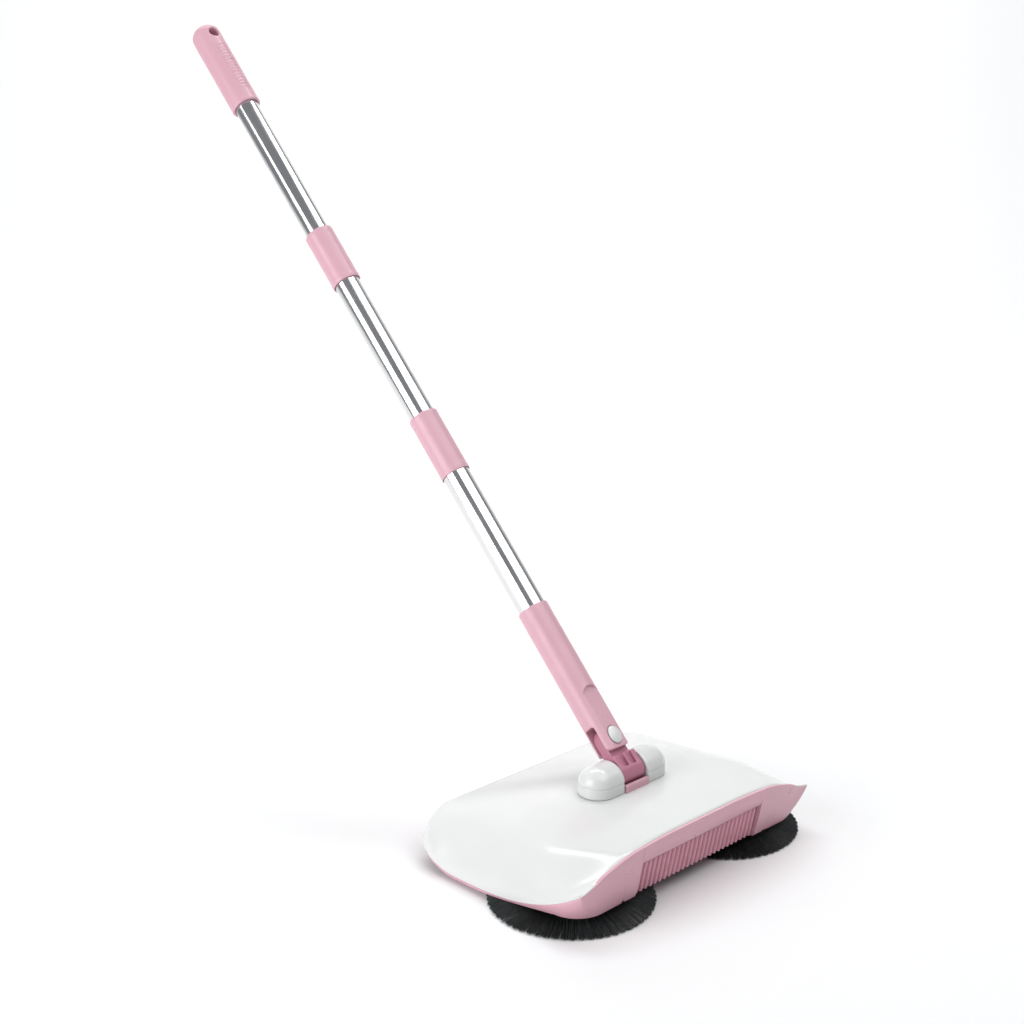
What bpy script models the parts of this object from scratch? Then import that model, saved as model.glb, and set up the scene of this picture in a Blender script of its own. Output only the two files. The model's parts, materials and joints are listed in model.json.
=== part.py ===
"""Hand-push carpet sweeper: a low head on drive wheels, two rotary side brushes, a dust drawer and a
telescopic pole on a two-way joint.

Metres, +Z up. X is the head's width, the brushes and the grille face -Y, and the pole leans towards +Y.
"""
import math

import bmesh
import bpy
from mathutils import Matrix, Vector

GAP = 0.0003  # clearance between pieces that touch or slide

# Head
HEAD_HALF_WIDTH = 0.115
HEAD_FRONT = -0.0815
HEAD_BACK = 0.0815
COVER_BACK = 0.0745
TOP_Z = 0.048
TOP_DROP = 0.0150  # how far the top falls towards the back edge
TOP_FALL_START = 0.004
SHOULDER_FRONT_Z = 0.0465
SKIN = 0.0022
BEZEL = 0.0034  # depth of the front frame that stands ahead of the cover
FRONT_TUCK = 0.0016  # how far the plan's front corners come in
BACK_TUCK = 0.0100
BACK_TUCK_START = 0.050
NOSE_LENGTH = 0.055  # length over which the cover's edge changes from a round roll to the front's S
SWEEP_LENGTH = 0.1215  # length over which the side line sweeps up to the front
TIP_Z_SIDE = 0.0050
TIP_Z_FRONT = 0.0350
CREASE_SIDE = 0.089
CREASE_FRONT = 0.058
BOTTOM_Z_SIDE = 0.0018
BOTTOM_Z_FRONT = 0.0105
SKIRT_FALL = (-0.062, 0.024)  # where the lower edge comes down from the front to the side
HEEL_RISE = (0.036, 0.070)  # where it climbs again to the back
HEEL_HEIGHT = 0.0070
UNDERCUT = 0.42  # how far the side leans in for each metre below the widest line
FRONT_SLOPE = 0.20  # how far the front leans back for each metre down
SKIRT_WALL = 0.0032
INNER_FRONT = -0.0690
INNER_BACK = 0.0700
PLATE_Z = 0.0122
PLATE_THICK = 0.0020
GRILLE_HALF_WIDTH = 0.059
GRILLE_TOP = 0.0345
GRILLE_SETBACK = 0.0012  # behind the front face, to the ribs
RIB_DEPTH = 0.0014
GRILLE_THICK = 0.0016
RIB_COUNT = 26

# Drive
WHEEL_R = 0.021
TYRE_INNER_R = 0.0175
AXLE_R = 0.003
AXLE_HALF_LENGTH = 0.066
WHEEL_X = 0.0125
WHEEL_WIDTH = 0.007
PINION_R = 0.0041
PINION_WIDTH = 0.006
PINION_TEETH = 8
TOOTH_DEPTH = 0.0004  # how far the teeth reach into each other
CROWN_R = 0.0150
CROWN_MESH_R = 0.0130
CROWN_TEETH = 26
BRUSH_X = 0.0743
BRUSH_Y = -0.0332
BRUSH_R = 0.0547
HUB_R = 0.0200
SPINDLE_R = 0.003
BEARING_X = 0.054
BEARING_TOP = 0.0262

# Rear rollers
ROLLER_R = 0.008
ROLLER_X = 0.088
ROLLER_Y = 0.062
ROLLER_WIDTH = 0.0100
ROLLER_PIN_R = 0.0015
EAR_THICK = 0.0020

# Dust drawer
BIN_HALF_WIDTH = 0.065
BIN_FRONT = -0.0030
BIN_BACK = 0.0765
BIN_FLOOR = 0.0146
BIN_TOP = 0.0285
BIN_WALL = 0.0015
BIN_SILL = 0.0215  # top of the low front wall
FACE_THICK = 0.0030

# Handle joint
PIVOT_Y = -0.0112
PIVOT_Z = 0.0565
LEAN = math.radians(43.46)  # back from vertical
POCKET_HALF_WIDTH = 0.0112
POCKET_FRONT = -0.0227
POCKET_BACK = 0.0053
CHEEK_X = 0.0205  # the cradle's cheeks stand at this distance either side
CHEEK_HALF_THICK = 0.0060
CHEEK_FRONT = -0.0164
CHEEK_BACK = -0.0060
CHEEK_TOP = 0.0614
CHEEK_ROOM = 0.0010  # free space around a cheek inside the cover and the cap
TILT_PIN_HALF_LENGTH = 0.0262
CAP_END_X = 0.0370
CAP_Y = -0.0082
CAP_HALF_DEPTH = 0.0135
CAP_HEIGHT = 0.0185
CAP_STEP = 0.0065  # upright part of a cap before its crown
CAP_ROUND_FROM = 0.0245
PIN_R = 0.003
KNUCKLE_R = 0.008
SWING_Z = 0.024  # swing pin above the tilt pin, along the handle
TONGUE_THICK = 0.0084
TONGUE_R = 0.0085

# Pole, heights along the handle from the tilt pin
ARM_BOTTOM = 0.015
ARM_TOP = 0.128
ARM_HALF_WIDTH = 0.0111
ARM_HALF_DEPTH = 0.0105
ARM_TOP_R = 0.0111
SLOT_TOP = 0.035
SOCKET_BOTTOM = 0.062
TUBE_WALL = 0.0003
TUBE_GAP = 0.0002
LOWER_TUBE_R = 0.010
LOWER_TUBE_SPAN = (0.064, 0.2695)
MIDDLE_TUBE_SPAN = (0.066, 0.438)
UPPER_TUBE_SPAN = (0.225, 0.625)
LOWER_COLLAR_SPAN = (0.239, 0.289)
UPPER_COLLAR_SPAN = (0.408, 0.454)
COLLAR_R = 0.0110
SLEEVE_THICK = 0.0006
GRIP_SPAN = (0.576, 0.655)
GRIP_R = 0.0118
HANG_HOLE_Z = 0.6425
HANG_HOLE_R = 0.004

TUBE_STEPS = 24
MIDDLE_TUBE_R = LOWER_TUBE_R - TUBE_WALL - TUBE_GAP
UPPER_TUBE_R = MIDDLE_TUBE_R - TUBE_WALL - TUBE_GAP

AXIS_X = Matrix.Rotation(math.radians(90), 4, "Y")  # turns a piece made along Z to lie along X
AXIS_Y = Matrix.Rotation(math.radians(-90), 4, "X")  # turns a piece made along Z to lie along Y


# ---------------------------------------------------------------- scene helpers

def clear_scene():
    for thing in list(bpy.data.objects):
        bpy.data.objects.remove(thing, do_unlink=True)


def make_collection(name):
    collection = bpy.data.collections.new(name)
    bpy.context.scene.collection.children.link(collection)
    return collection


def make_material(name, colour, roughness, metallic=0.0):
    material = bpy.data.materials.new(name)
    material.use_nodes = True
    shader = material.node_tree.nodes["Principled BSDF"]
    shader.inputs["Base Color"].default_value = (*colour, 1.0)
    shader.inputs["Roughness"].default_value = roughness
    shader.inputs["Metallic"].default_value = metallic
    material.diffuse_color = (*colour, 1.0)
    return material


def make_frame(name, location, rotation=(0.0, 0.0, 0.0), parent=None):
    frame = bpy.data.objects.new(name, None)
    frame.location = location
    frame.rotation_euler = rotation
    frame.parent = parent
    PARTS.objects.link(frame)
    return frame


def place(name, mesh, material, parent=None, location=(0.0, 0.0, 0.0)):
    mesh.name = name
    mesh.materials.clear()
    mesh.materials.append(material)
    thing = bpy.data.objects.new(name, mesh)
    thing.parent = parent
    thing.location = location
    PARTS.objects.link(thing)
    return thing


def boolean(target, operation, mesh):
    """Cuts or joins a mesh given in the target's own coordinates."""
    tool = bpy.data.objects.new(target.name + "_" + operation.lower(), mesh)
    tool.parent = target
    tool.hide_render = True
    tool.display_type = "WIRE"
    CUTTERS.objects.link(tool)
    modifier = target.modifiers.new(operation.title(), "BOOLEAN")
    modifier.operation = operation
    modifier.solver = "EXACT"
    modifier.object = tool


def cut(target, mesh):
    boolean(target, "DIFFERENCE", mesh)


def join(target, mesh):
    boolean(target, "UNION", mesh)


# ---------------------------------------------------------------- shapes

def finish(bm):
    mesh = bpy.data.meshes.new("shape")
    bmesh.ops.recalc_face_normals(bm, faces=bm.faces)
    bm.to_mesh(mesh)
    bm.free()
    return mesh


def box(low, high):
    bm = bmesh.new()
    size = Vector(high) - Vector(low)
    centre = (Vector(high) + Vector(low)) / 2
    bmesh.ops.create_cube(bm, size=1.0, matrix=Matrix.Translation(centre) @ Matrix.Diagonal((*size, 1.0)))
    return finish(bm)


def rod(radius, start, end, turn=None, centre=(0.0, 0.0, 0.0), steps=24):
    """A cylinder along Z from start to end, then turned and moved."""
    bm = bmesh.new()
    matrix = Matrix.Translation(centre) @ (turn or Matrix()) @ Matrix.Translation((0, 0, (start + end) / 2))
    bmesh.ops.create_cone(bm, cap_ends=True, segments=steps, radius1=radius, radius2=radius,
                          depth=end - start, matrix=matrix)
    return finish(bm)


def turned(name, profile, material, parent=None, location=(0.0, 0.0, 0.0), closed=False, steps=TUBE_STEPS,
           rotation=(0.0, 0.0, 0.0)):
    """A profile of (radius, height) points, outer side from top to bottom, spun about Z."""
    mesh = bpy.data.meshes.new("profile")
    edges = [(i, i + 1) for i in range(len(profile) - 1)]
    if closed:
        edges.append((len(profile) - 1, 0))
    mesh.from_pydata([(radius, 0.0, height) for radius, height in profile], edges, [])
    thing = place(name, mesh, material, parent, location)
    thing.rotation_euler = rotation
    screw = thing.modifiers.new("Screw", "SCREW")
    screw.axis = "Z"
    screw.steps = steps
    screw.render_steps = steps
    screw.use_merge_vertices = True
    screw.merge_threshold = 0.00001
    screw.use_smooth_shade = True
    return thing


def ring(outer, inner, bottom, top):
    """Closed profile of a plain tube."""
    return [(outer, top), (outer, bottom), (inner, bottom), (inner, top)]


def flat(outline, thickness, turn=None, centre=(0.0, 0.0, 0.0)):
    """A closed outline in XY, filled, and as thick along Z as given, centred on Z = 0."""
    curve = bpy.data.curves.new("outline", "CURVE")
    curve.dimensions = "2D"
    curve.fill_mode = "BOTH"
    curve.extrude = thickness / 2
    spline = curve.splines.new("POLY")
    spline.points.add(len(outline) - 1)
    for point, (x, y) in zip(spline.points, outline):
        point.co = (x, y, 0.0, 1.0)
    spline.use_cyclic_u = True
    holder = bpy.data.objects.new("outline", curve)
    bpy.context.scene.collection.objects.link(holder)
    bpy.context.view_layer.update()
    mesh = bpy.data.meshes.new_from_object(holder)
    bpy.data.objects.remove(holder, do_unlink=True)
    bm = bmesh.new()
    bm.from_mesh(mesh)
    bmesh.ops.remove_doubles(bm, verts=bm.verts, dist=0.00001)
    bmesh.ops.transform(bm, matrix=Matrix.Translation(centre) @ (turn or Matrix()), verts=bm.verts)
    return finish(bm)


def loft(sections):
    """Skins closed loops of equal length, one after another, and caps both ends."""
    bm = bmesh.new()
    loops = [[bm.verts.new(point) for point in section] for section in sections]
    for near, far in zip(loops, loops[1:]):
        for i in range(len(near)):
            j = (i + 1) % len(near)
            bm.faces.new((near[i], near[j], far[j], far[i]))
    bm.faces.new(loops[0][::-1])
    bm.faces.new(loops[-1])
    return finish(bm)


def arc(centre, radius, first, last, steps):
    """Points on a circle between two angles in degrees."""
    angles = [math.radians(first + (last - first) * i / steps) for i in range(steps + 1)]
    return [(centre[0] + radius * math.cos(a), centre[1] + radius * math.sin(a)) for a in angles]


def toothed(outer, root, teeth, fill=0.30, flank=0.12):
    """Outline of a wheel with straight-sided teeth; a tooth is centred on +X."""
    pitch = 2 * math.pi / teeth
    corners = ((root, -fill / 2 - flank), (outer, -fill / 2), (outer, fill / 2), (root, fill / 2 + flank))
    points = []
    for tooth in range(teeth):
        for radius, share in corners:
            angle = pitch * (tooth + share)
            points.append((radius * math.cos(angle), radius * math.sin(angle)))
    return points


# ---------------------------------------------------------------- head outline

def nose(y):
    """1 at the front face, falling smoothly to 0 where the side runs level."""
    return max(0.0, 1.0 - (y - HEAD_FRONT) / NOSE_LENGTH) ** 2


def top_z(y):
    fall = max(0.0, (y - TOP_FALL_START) / (COVER_BACK - TOP_FALL_START))
    return TOP_Z - TOP_DROP * fall ** 1.5


def shoulder_z(y):
    """Height of the top where it meets the side roll; the middle of the head stands above it."""
    back = TOP_Z - TOP_DROP
    left = max(0.0, (COVER_BACK - y) / (COVER_BACK - HEAD_FRONT))
    return back + (SHOULDER_FRONT_Z - back) * left ** 0.75


def eased(y, span):
    """0 before the span, 1 after it, and a smooth S between."""
    t = min(1.0, max(0.0, (y - span[0]) / (span[1] - span[0])))
    return t * t * (3 - 2 * t)


def tip_z(y):
    sweep = max(0.0, 1.0 - (y - HEAD_FRONT) / SWEEP_LENGTH) ** 3
    return TIP_Z_SIDE + (TIP_Z_FRONT - TIP_Z_SIDE) * sweep + HEEL_HEIGHT * eased(y, HEEL_RISE)


def tip_x(y):
    back = max(0.0, (y - BACK_TUCK_START) / (COVER_BACK - BACK_TUCK_START))
    front = max(0.0, y / HEAD_FRONT)
    return HEAD_HALF_WIDTH - BACK_TUCK * back ** 2 - FRONT_TUCK * front ** 6


def crease_x(y):
    back = max(0.0, (y - BACK_TUCK_START) / (COVER_BACK - BACK_TUCK_START))
    return CREASE_SIDE + (CREASE_FRONT - CREASE_SIDE) * nose(y) - BACK_TUCK * back ** 2 / 2


def bottom_z(y):
    fall = eased(y, SKIRT_FALL)
    return BOTTOM_Z_FRONT + (BOTTOM_Z_SIDE - BOTTOM_Z_FRONT) * fall + HEEL_HEIGHT * eased(y, HEEL_RISE)


def bottom_x(y):
    return tip_x(y) - UNDERCUT * (tip_z(y) - bottom_z(y))


def arch(y, inset, steps=8):
    """The upper line of the head's section at y, from the right side over the top to the left."""
    front = nose(y)
    crease = crease_x(y) - 0.3 * inset
    tip = tip_x(y) - inset
    low = tip_z(y) - inset * front
    shoulder = shoulder_z(y) - inset
    crown = top_z(y) - inset - shoulder
    right = []
    for i in range(steps + 1):
        angle = math.radians(90 * (1 - i / steps))
        along = math.sin(angle)
        round_roll = math.cos(angle) ** 1.1 - 0.2 * along * math.cos(angle)
        s_curve = (0.5 + 0.5 * math.cos(math.pi * along)) ** 0.85
        share = round_roll + (s_curve - round_roll) * front
        right.append((crease + (tip - crease) * along, y, low + (shoulder - low) * share))
    for share in (0.8, 0.6, 0.4, 0.2):
        right.append((crease * share, y, shoulder + crown * (1 - share ** 4)))
    return right + [(-x, y, z) for x, y, z in reversed(right)]


def stations(count=16):
    """Places along Y at which the cover and the base under it are drawn."""
    first = HEAD_FRONT + BEZEL + GAP
    return [first + (COVER_BACK - first) * i / count for i in range(count + 1)]


# ---------------------------------------------------------------- head pieces

def cheek_block(side, grow, low, high):
    """A block round one cheek of the hinge cradle, larger than it by grow."""
    x = side * CHEEK_X
    reach = CHEEK_HALF_THICK + grow
    return box((x - reach, CHEEK_FRONT - grow, low), (x + reach, CHEEK_BACK + grow, high))


def build_top_cover():
    sections = [arch(y, 0.0) + arch(y, SKIN)[::-1] for y in stations()]
    cover = place("top_cover", loft(sections), WHITE)
    cut(cover, box((-POCKET_HALF_WIDTH, POCKET_FRONT, 0.02), (POCKET_HALF_WIDTH, POCKET_BACK, 0.06)))
    for side in (-1, 1):
        cut(cover, cheek_block(side, CHEEK_ROOM, 0.03, CHEEK_TOP))


def base_section(y, inset, parting):
    """A closed section of the pink base: undercut sides, then an arch under the cover."""
    tip = tip_x(y)
    shelf = tip - parting
    upper = arch(y, inset)
    lower = tip_z(y) - 2 * GAP
    right = [(bottom_x(y), y, bottom_z(y)), (tip, y, lower), (shelf, y, lower - parting * nose(y))]
    left = [(-x, y, z) for x, y, z in reversed(right)]
    return right + upper + left


def inner_outline(inset):
    front = INNER_FRONT + inset
    back = INNER_BACK - inset
    side = 0.098 - inset
    return [(-0.084 + inset, front), (0.084 - inset, front), (side, -0.050), (side, 0.068),
            (0.092 - inset, back), (-0.092 + inset, back), (-side, 0.068), (-side, -0.050)]


def skirt_room():
    """The free space under the head inside its side walls, in plan."""
    ys = [INNER_FRONT + (INNER_BACK - INNER_FRONT) * i / 12 for i in range(13)]
    right = [(bottom_x(y) - SKIRT_WALL, y) for y in ys]
    return right + [(-x, y) for x, y in reversed(right)]


def front_wedge():
    """What the leaning front face leaves away, as a section in Y and Z drawn out along X."""
    low = -0.01
    foot = HEAD_FRONT + FRONT_SLOPE * (TOP_Z - low)
    outline = [(HEAD_FRONT - 0.01, low), (foot, low), (HEAD_FRONT, TOP_Z), (HEAD_FRONT - 0.01, TOP_Z)]
    turn = Matrix(((0, 0, 1, 0), (1, 0, 0, 0), (0, 1, 0, 0), (0, 0, 0, 1)))
    return flat(outline, 2 * HEAD_HALF_WIDTH + 0.02, turn)


def build_base_housing():
    lip = HEAD_FRONT + BEZEL
    hidden = SKIN + 3 * GAP
    bezel = [base_section(y, 0.0, 0.00002) for y in (HEAD_FRONT, HEAD_FRONT + 0.0012, lip)]
    body = [base_section(y, hidden, hidden) for y in [lip + 0.0001] + stations()]
    base = place("base_housing", loft(bezel + body), PINK)
    middle = (0.0, 0.0, 0.03)
    cut(base, flat(inner_outline(0.0), 0.08, centre=middle))
    roof = PLATE_Z - GAP
    cut(base, flat(skirt_room(), 0.02, centre=(0.0, 0.0, roof - 0.01)))
    cut(base, front_wedge())
    cut(base, box((-GRILLE_HALF_WIDTH - GAP, HEAD_FRONT - 0.01, -0.01),
                  (GRILLE_HALF_WIDTH + GAP, INNER_FRONT + 0.01, GRILLE_TOP + GAP)))
    cut(base, box((-BIN_HALF_WIDTH - GAP, INNER_BACK - 0.01, BIN_FLOOR - GAP),
                  (BIN_HALF_WIDTH + GAP, HEAD_BACK + 0.01, BIN_TOP + GAP)))


def build_front_grille():
    """A ribbed panel set back in the front opening and leaning with the front."""
    pitch = 2 * GRILLE_HALF_WIDTH / RIB_COUNT
    outline = [(-GRILLE_HALF_WIDTH, GRILLE_THICK)]
    for rib in range(RIB_COUNT):
        left = -GRILLE_HALF_WIDTH + rib * pitch
        right = left + 0.45 * pitch
        outline += [(left, 0.0), (left, -RIB_DEPTH), (right, -RIB_DEPTH), (right, 0.0)]
    outline += [(GRILLE_HALF_WIDTH, 0.0), (GRILLE_HALF_WIDTH, GRILLE_THICK)]
    bottom = BOTTOM_Z_FRONT + 0.0012
    height = (GRILLE_TOP + bottom) / 2
    face = HEAD_FRONT + FRONT_SLOPE * (TOP_Z - height)
    lean = Matrix.Rotation(math.atan(FRONT_SLOPE), 4, "X")
    middle = (0, face + GRILLE_SETBACK + RIB_DEPTH, height)
    mesh = flat(outline[1:] + outline[:1], GRILLE_TOP - bottom, lean, middle)
    place("front_grille", mesh, PINK_SHADE)


def build_bottom_plate():
    middle = PLATE_Z + PLATE_THICK / 2
    plate = place("bottom_plate", flat(inner_outline(0.0005), PLATE_THICK, centre=(0, 0, middle)), PINK_SHADE)
    for side in (-1, 1):
        x = side * BEARING_X
        low = (x - 0.0025, BRUSH_Y - 0.006, PLATE_Z + 0.001)
        join(plate, box(low, (x + 0.0025, BRUSH_Y + 0.006, BEARING_TOP)))
        cut(plate, rod(AXLE_R + GAP, x - 0.004, x + 0.004, AXIS_X, (0, BRUSH_Y, WHEEL_R)))
        cut(plate, rod(SPINDLE_R + GAP, 0.0, 0.02, centre=(side * BRUSH_X, BRUSH_Y, 0)))
        build_roller_bracket(plate, side * ROLLER_X)
    cut(plate, box((-0.0195, -0.0660, 0.0), (0.0195, -0.0050, 0.02)))


def build_roller_bracket(plate, x):
    half = ROLLER_WIDTH / 2 + GAP
    for side in (-1, 1):
        inner = x + side * half
        outer = inner + side * EAR_THICK
        low = (min(inner, outer), ROLLER_Y - 0.0045, 0.0038)
        join(plate, box(low, (max(inner, outer), ROLLER_Y + 0.0045, PLATE_Z + 0.001)))
    reach = ROLLER_R + 0.0010
    cut(plate, box((x - half, ROLLER_Y - reach, 0.0), (x + half, ROLLER_Y + reach, 0.03)))
    cut(plate, rod(ROLLER_PIN_R + GAP, x - 0.02, x + 0.02, AXIS_X, (0, ROLLER_Y, ROLLER_R), steps=20))


def build_rear_roller(name, x):
    frame = make_frame(name + "_axis", (x, ROLLER_Y, ROLLER_R), (0.0, math.radians(90), 0.0))
    half = ROLLER_WIDTH / 2
    rim = ROLLER_R - 0.0010
    bore = ROLLER_PIN_R + GAP
    profile = [(ROLLER_R, half - 0.001), (ROLLER_R, 0.001 - half), (rim, -half), (bore, -half), (bore, half),
               (rim, half)]
    turned(name + "_roller", profile, DARK, frame, closed=True, steps=20)
    reach = half + EAR_THICK
    place(name + "_roller_pin", rod(ROLLER_PIN_R, -reach, reach, steps=20), STEEL, frame)


def build_dust_bin():
    """An open tray with a low front wall, and the drawer face that closes the back of the head."""
    half = BIN_HALF_WIDTH
    tray = place("dust_bin", box((-half, BIN_FRONT, BIN_FLOOR), (half, BIN_BACK, BIN_TOP)), SMOKE)
    inner = half - BIN_WALL
    cut(tray, box((-inner, BIN_FRONT + BIN_WALL, BIN_FLOOR + BIN_WALL), (inner, BIN_BACK - BIN_WALL, 0.05)))
    cut(tray, box((-inner, BIN_FRONT - 0.01, BIN_SILL), (inner, BIN_FRONT + 0.01, 0.05)))
    y = BIN_BACK + GAP
    half += 0.004
    slab = box((-half, y, BIN_FLOOR - 0.0012), (half, y + FACE_THICK, BIN_TOP + 0.0015))
    face = place("drawer_face", slab, PINK)
    pull = flat([(-0.020, 0.0), (-0.016, 0.0017), (0.016, 0.0017), (0.020, 0.0), (0.016, -0.0017),
                 (-0.016, -0.0017)], FACE_THICK, AXIS_Y, (0, y + 0.0035, 0.0215))
    join(face, pull)


def build_wiper_lip():
    outline = [(-0.0052, 0.0170), (-0.0075, 0.0170), (-0.0075, 0.0060), (-0.0095, 0.0010), (-0.0086, 0.0008),
               (-0.0053, 0.0060)]
    turn = Matrix(((0, 0, 1, 0), (1, 0, 0, 0), (0, 1, 0, 0), (0, 0, 0, 1)))
    place("wiper_lip", flat(outline, 0.0370, turn), RUBBER)


def build_hinge_cradle():
    """The yoke under the cover whose two cheeks stand up inside the caps and carry the tilt pin."""
    top = TOP_Z - SKIN - 2 * GAP
    floor = box((-0.0300, -0.0207, top - 0.0022), (0.0300, 0.0058, top))
    cradle = place("hinge_cradle", floor, PINK_SHADE)
    for side in (-1, 1):
        join(cradle, cheek_block(side, 0.0, top - 0.001, CHEEK_TOP))
    cut(cradle, rod(PIN_R + GAP, -0.04, 0.04, AXIS_X, (0, PIVOT_Y, PIVOT_Z)))


def build_tilt_pin():
    half = TILT_PIN_HALF_LENGTH
    place("tilt_pin", rod(PIN_R, -half, half, AXIS_X, (0, PIVOT_Y, PIVOT_Z)), STEEL)


def cap_section(x, scale_y, height):
    """Upright sides, then a round crown."""
    base = TOP_Z + GAP
    half = CAP_HALF_DEPTH * scale_y
    crown = [(half * math.cos(a), CAP_STEP + (height - CAP_STEP) * math.sin(a))
             for a in (math.radians(180 * i / 10) for i in range(11))]
    upper = [(x, CAP_Y + y, base + z) for y, z in crown]
    return [(x, CAP_Y + half, base)] + upper + [(x, CAP_Y - half, base)]


def build_hinge_cap(name, side):
    inner = POCKET_HALF_WIDTH + GAP
    sections = [cap_section(side * x, 1.0, CAP_HEIGHT) for x in (inner, CAP_ROUND_FROM)]
    for i in range(1, 8):
        angle = math.radians(90 * i / 8)
        x = CAP_ROUND_FROM + (CAP_END_X - CAP_ROUND_FROM) * math.sin(angle)
        share = math.cos(angle)
        height = CAP_STEP + (CAP_HEIGHT - CAP_STEP) * share ** 0.8
        sections.append(cap_section(side * x, 0.25 + 0.75 * share ** 0.7, height))
    cap = place(name, loft(sections), WHITE)
    cut(cap, cheek_block(side, CHEEK_ROOM - 0.0002, 0.04, CHEEK_TOP + 0.0006))
    cut(cap, rod(PIN_R + GAP, side * 0.018 - 0.008, side * 0.018 + 0.008, AXIS_X, (0, PIVOT_Y, PIVOT_Z)))


def build_cover_screws():
    for name, x, y in (("left_front_screw", -0.090, -0.060), ("right_front_screw", 0.090, -0.060),
                       ("left_rear_screw", -0.092, 0.040), ("right_rear_screw", 0.092, 0.040)):
        drop = PLATE_Z - GAP
        profile = [(0.0, drop), (0.0035, drop), (0.0032, drop - 0.0016), (0.0, drop - 0.0020)]
        turned(name, profile, STEEL, location=(x, y, 0.0), steps=16)


# ---------------------------------------------------------------- drive and brushes

def build_drive():
    axle = make_frame("axle_axis", (0.0, BRUSH_Y, WHEEL_R))
    along = (0.0, math.radians(90), 0.0)
    place("drive_axle", rod(AXLE_R, -AXLE_HALF_LENGTH, AXLE_HALF_LENGTH, AXIS_X), STEEL, axle)
    half = WHEEL_WIDTH / 2
    bore = AXLE_R + GAP
    rim = TYRE_INNER_R - GAP
    hub = [(rim, half), (rim, -half), (0.0130, -half), (0.0130, -0.001), (bore, -0.001), (bore, half),
           (0.0060, half), (0.0130, 0.001), (0.0130, half)]
    tread = [(WHEEL_R, half - 0.001), (WHEEL_R, 0.001 - half), (WHEEL_R - 0.0008, -half),
             (TYRE_INNER_R, -half), (TYRE_INNER_R, half), (WHEEL_R - 0.0008, half)]
    for name, side in (("left", -1), ("right", 1)):
        spot = (side * WHEEL_X, 0.0, 0.0)
        turned(name + "_drive_wheel", hub, PINK_SHADE, axle, spot, closed=True, rotation=along)
        turned(name + "_tyre", tread, RUBBER, axle, spot, closed=True, rotation=along)
        half_tooth = Matrix.Rotation(math.pi / PINION_TEETH, 4, "Z")
        outline = toothed(PINION_R, PINION_R - 0.0009, PINION_TEETH, 0.26)
        pinion = flat(outline, PINION_WIDTH, AXIS_X @ half_tooth)
        spot = (side * (BRUSH_X - CROWN_MESH_R), 0.0, 0.0)
        gear = place(name + "_pinion", pinion, BRASSY, axle, spot)
        cut(gear, rod(AXLE_R + 0.0001, -0.01, 0.01, AXIS_X))
    fins = flat(toothed(0.0180, 0.0070, 8, 0.05, 0.06), 2 * (WHEEL_X - half - GAP), AXIS_X)
    roller = place("pickup_roller", fins, RUBBER, axle)
    cut(roller, rod(AXLE_R + GAP, -0.02, 0.02, AXIS_X))


def crown_gear(name, parent):
    """A flat disc with radial teeth standing on its upper face."""
    low = PLATE_Z + PLATE_THICK + GAP
    web = low + 0.0010
    top = WHEEL_R - PINION_R + TOOTH_DEPTH
    gear = place(name, rod(CROWN_R, low, web), BRASSY, parent)
    teeth = flat(toothed(CROWN_R - 0.0003, 0.0100, CROWN_TEETH, 0.20, 0.06), top - web + 0.0004)
    teeth.transform(Matrix.Translation((0, 0, (top + web) / 2 - 0.0002)))
    join(gear, teeth)
    cut(gear, rod(0.0108, web + 0.0001, top + 0.001))
    cut(gear, rod(SPINDLE_R + GAP, low - 0.001, top + 0.001))


def build_brush(name, side):
    frame = make_frame(name + "_brush_axis", (side * BRUSH_X, BRUSH_Y, 0.0))
    place(name + "_spindle", rod(SPINDLE_R, 0.0078, 0.0168, steps=24), STEEL, frame)
    crown_gear(name + "_crown_gear", frame)
    bore = SPINDLE_R + GAP
    hub = [(HUB_R, 0.0112), (HUB_R, 0.0072), (bore, 0.0072), (bore, 0.0116), (HUB_R - 0.002, 0.0116)]
    turned(name + "_brush_hub", hub, DARK, frame, closed=True)
    root = HUB_R + GAP
    skirt = [(root, 0.0108), (0.0330, 0.0074), (0.0450, 0.0044), (BRUSH_R, 0.0013), (BRUSH_R, 0.0),
             (0.0500, 0.0), (0.0350, 0.0040), (root, 0.0074)]
    turned(name + "_bristles", skirt, BRISTLE, frame, closed=True, steps=36)
    screw = [(0.0, 0.0075), (0.0026, 0.0075), (0.0026, 0.0069), (0.0052, 0.0069), (0.0052, 0.0060),
             (0.0, 0.0056)]
    turned(name + "_brush_screw", screw, STEEL, frame, steps=20)


# ---------------------------------------------------------------- handle

def build_knuckle(frame):
    outline = [(-0.0104, 0.002), (0.0104, 0.002), (TONGUE_R, 0.015)]
    outline += arc((0.0, SWING_Z), TONGUE_R, 0, 180, 12)
    outline += [(-TONGUE_R, 0.015)]
    upright = Matrix.Rotation(math.radians(90), 4, "X")
    knuckle = place("knuckle", flat(outline, TONGUE_THICK, upright), PINK_SHADE, frame)
    width = POCKET_HALF_WIDTH - GAP
    join(knuckle, rod(KNUCKLE_R, -width, width, AXIS_X))
    cut(knuckle, rod(PIN_R + GAP, -0.02, 0.02, AXIS_X))
    cut(knuckle, rod(PIN_R + GAP, -0.02, 0.02, AXIS_Y, (0, 0, SWING_Z)))
    cut(knuckle, box((-0.0060, -0.010, 0.0085), (0.0060, -TONGUE_THICK / 2 + 0.0016, 0.0150)))


def arm_section(z, half_x, half_y, square, steps=24):
    """A rounded rectangle; square runs from 2, a circle, upwards."""
    points = []
    for i in range(steps):
        angle = 2 * math.pi * i / steps
        c = math.cos(angle)
        s = math.sin(angle)
        x = half_x * math.copysign(abs(c) ** (2 / square), c)
        y = half_y * math.copysign(abs(s) ** (2 / square), s)
        points.append((x, y, z))
    return points


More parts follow.
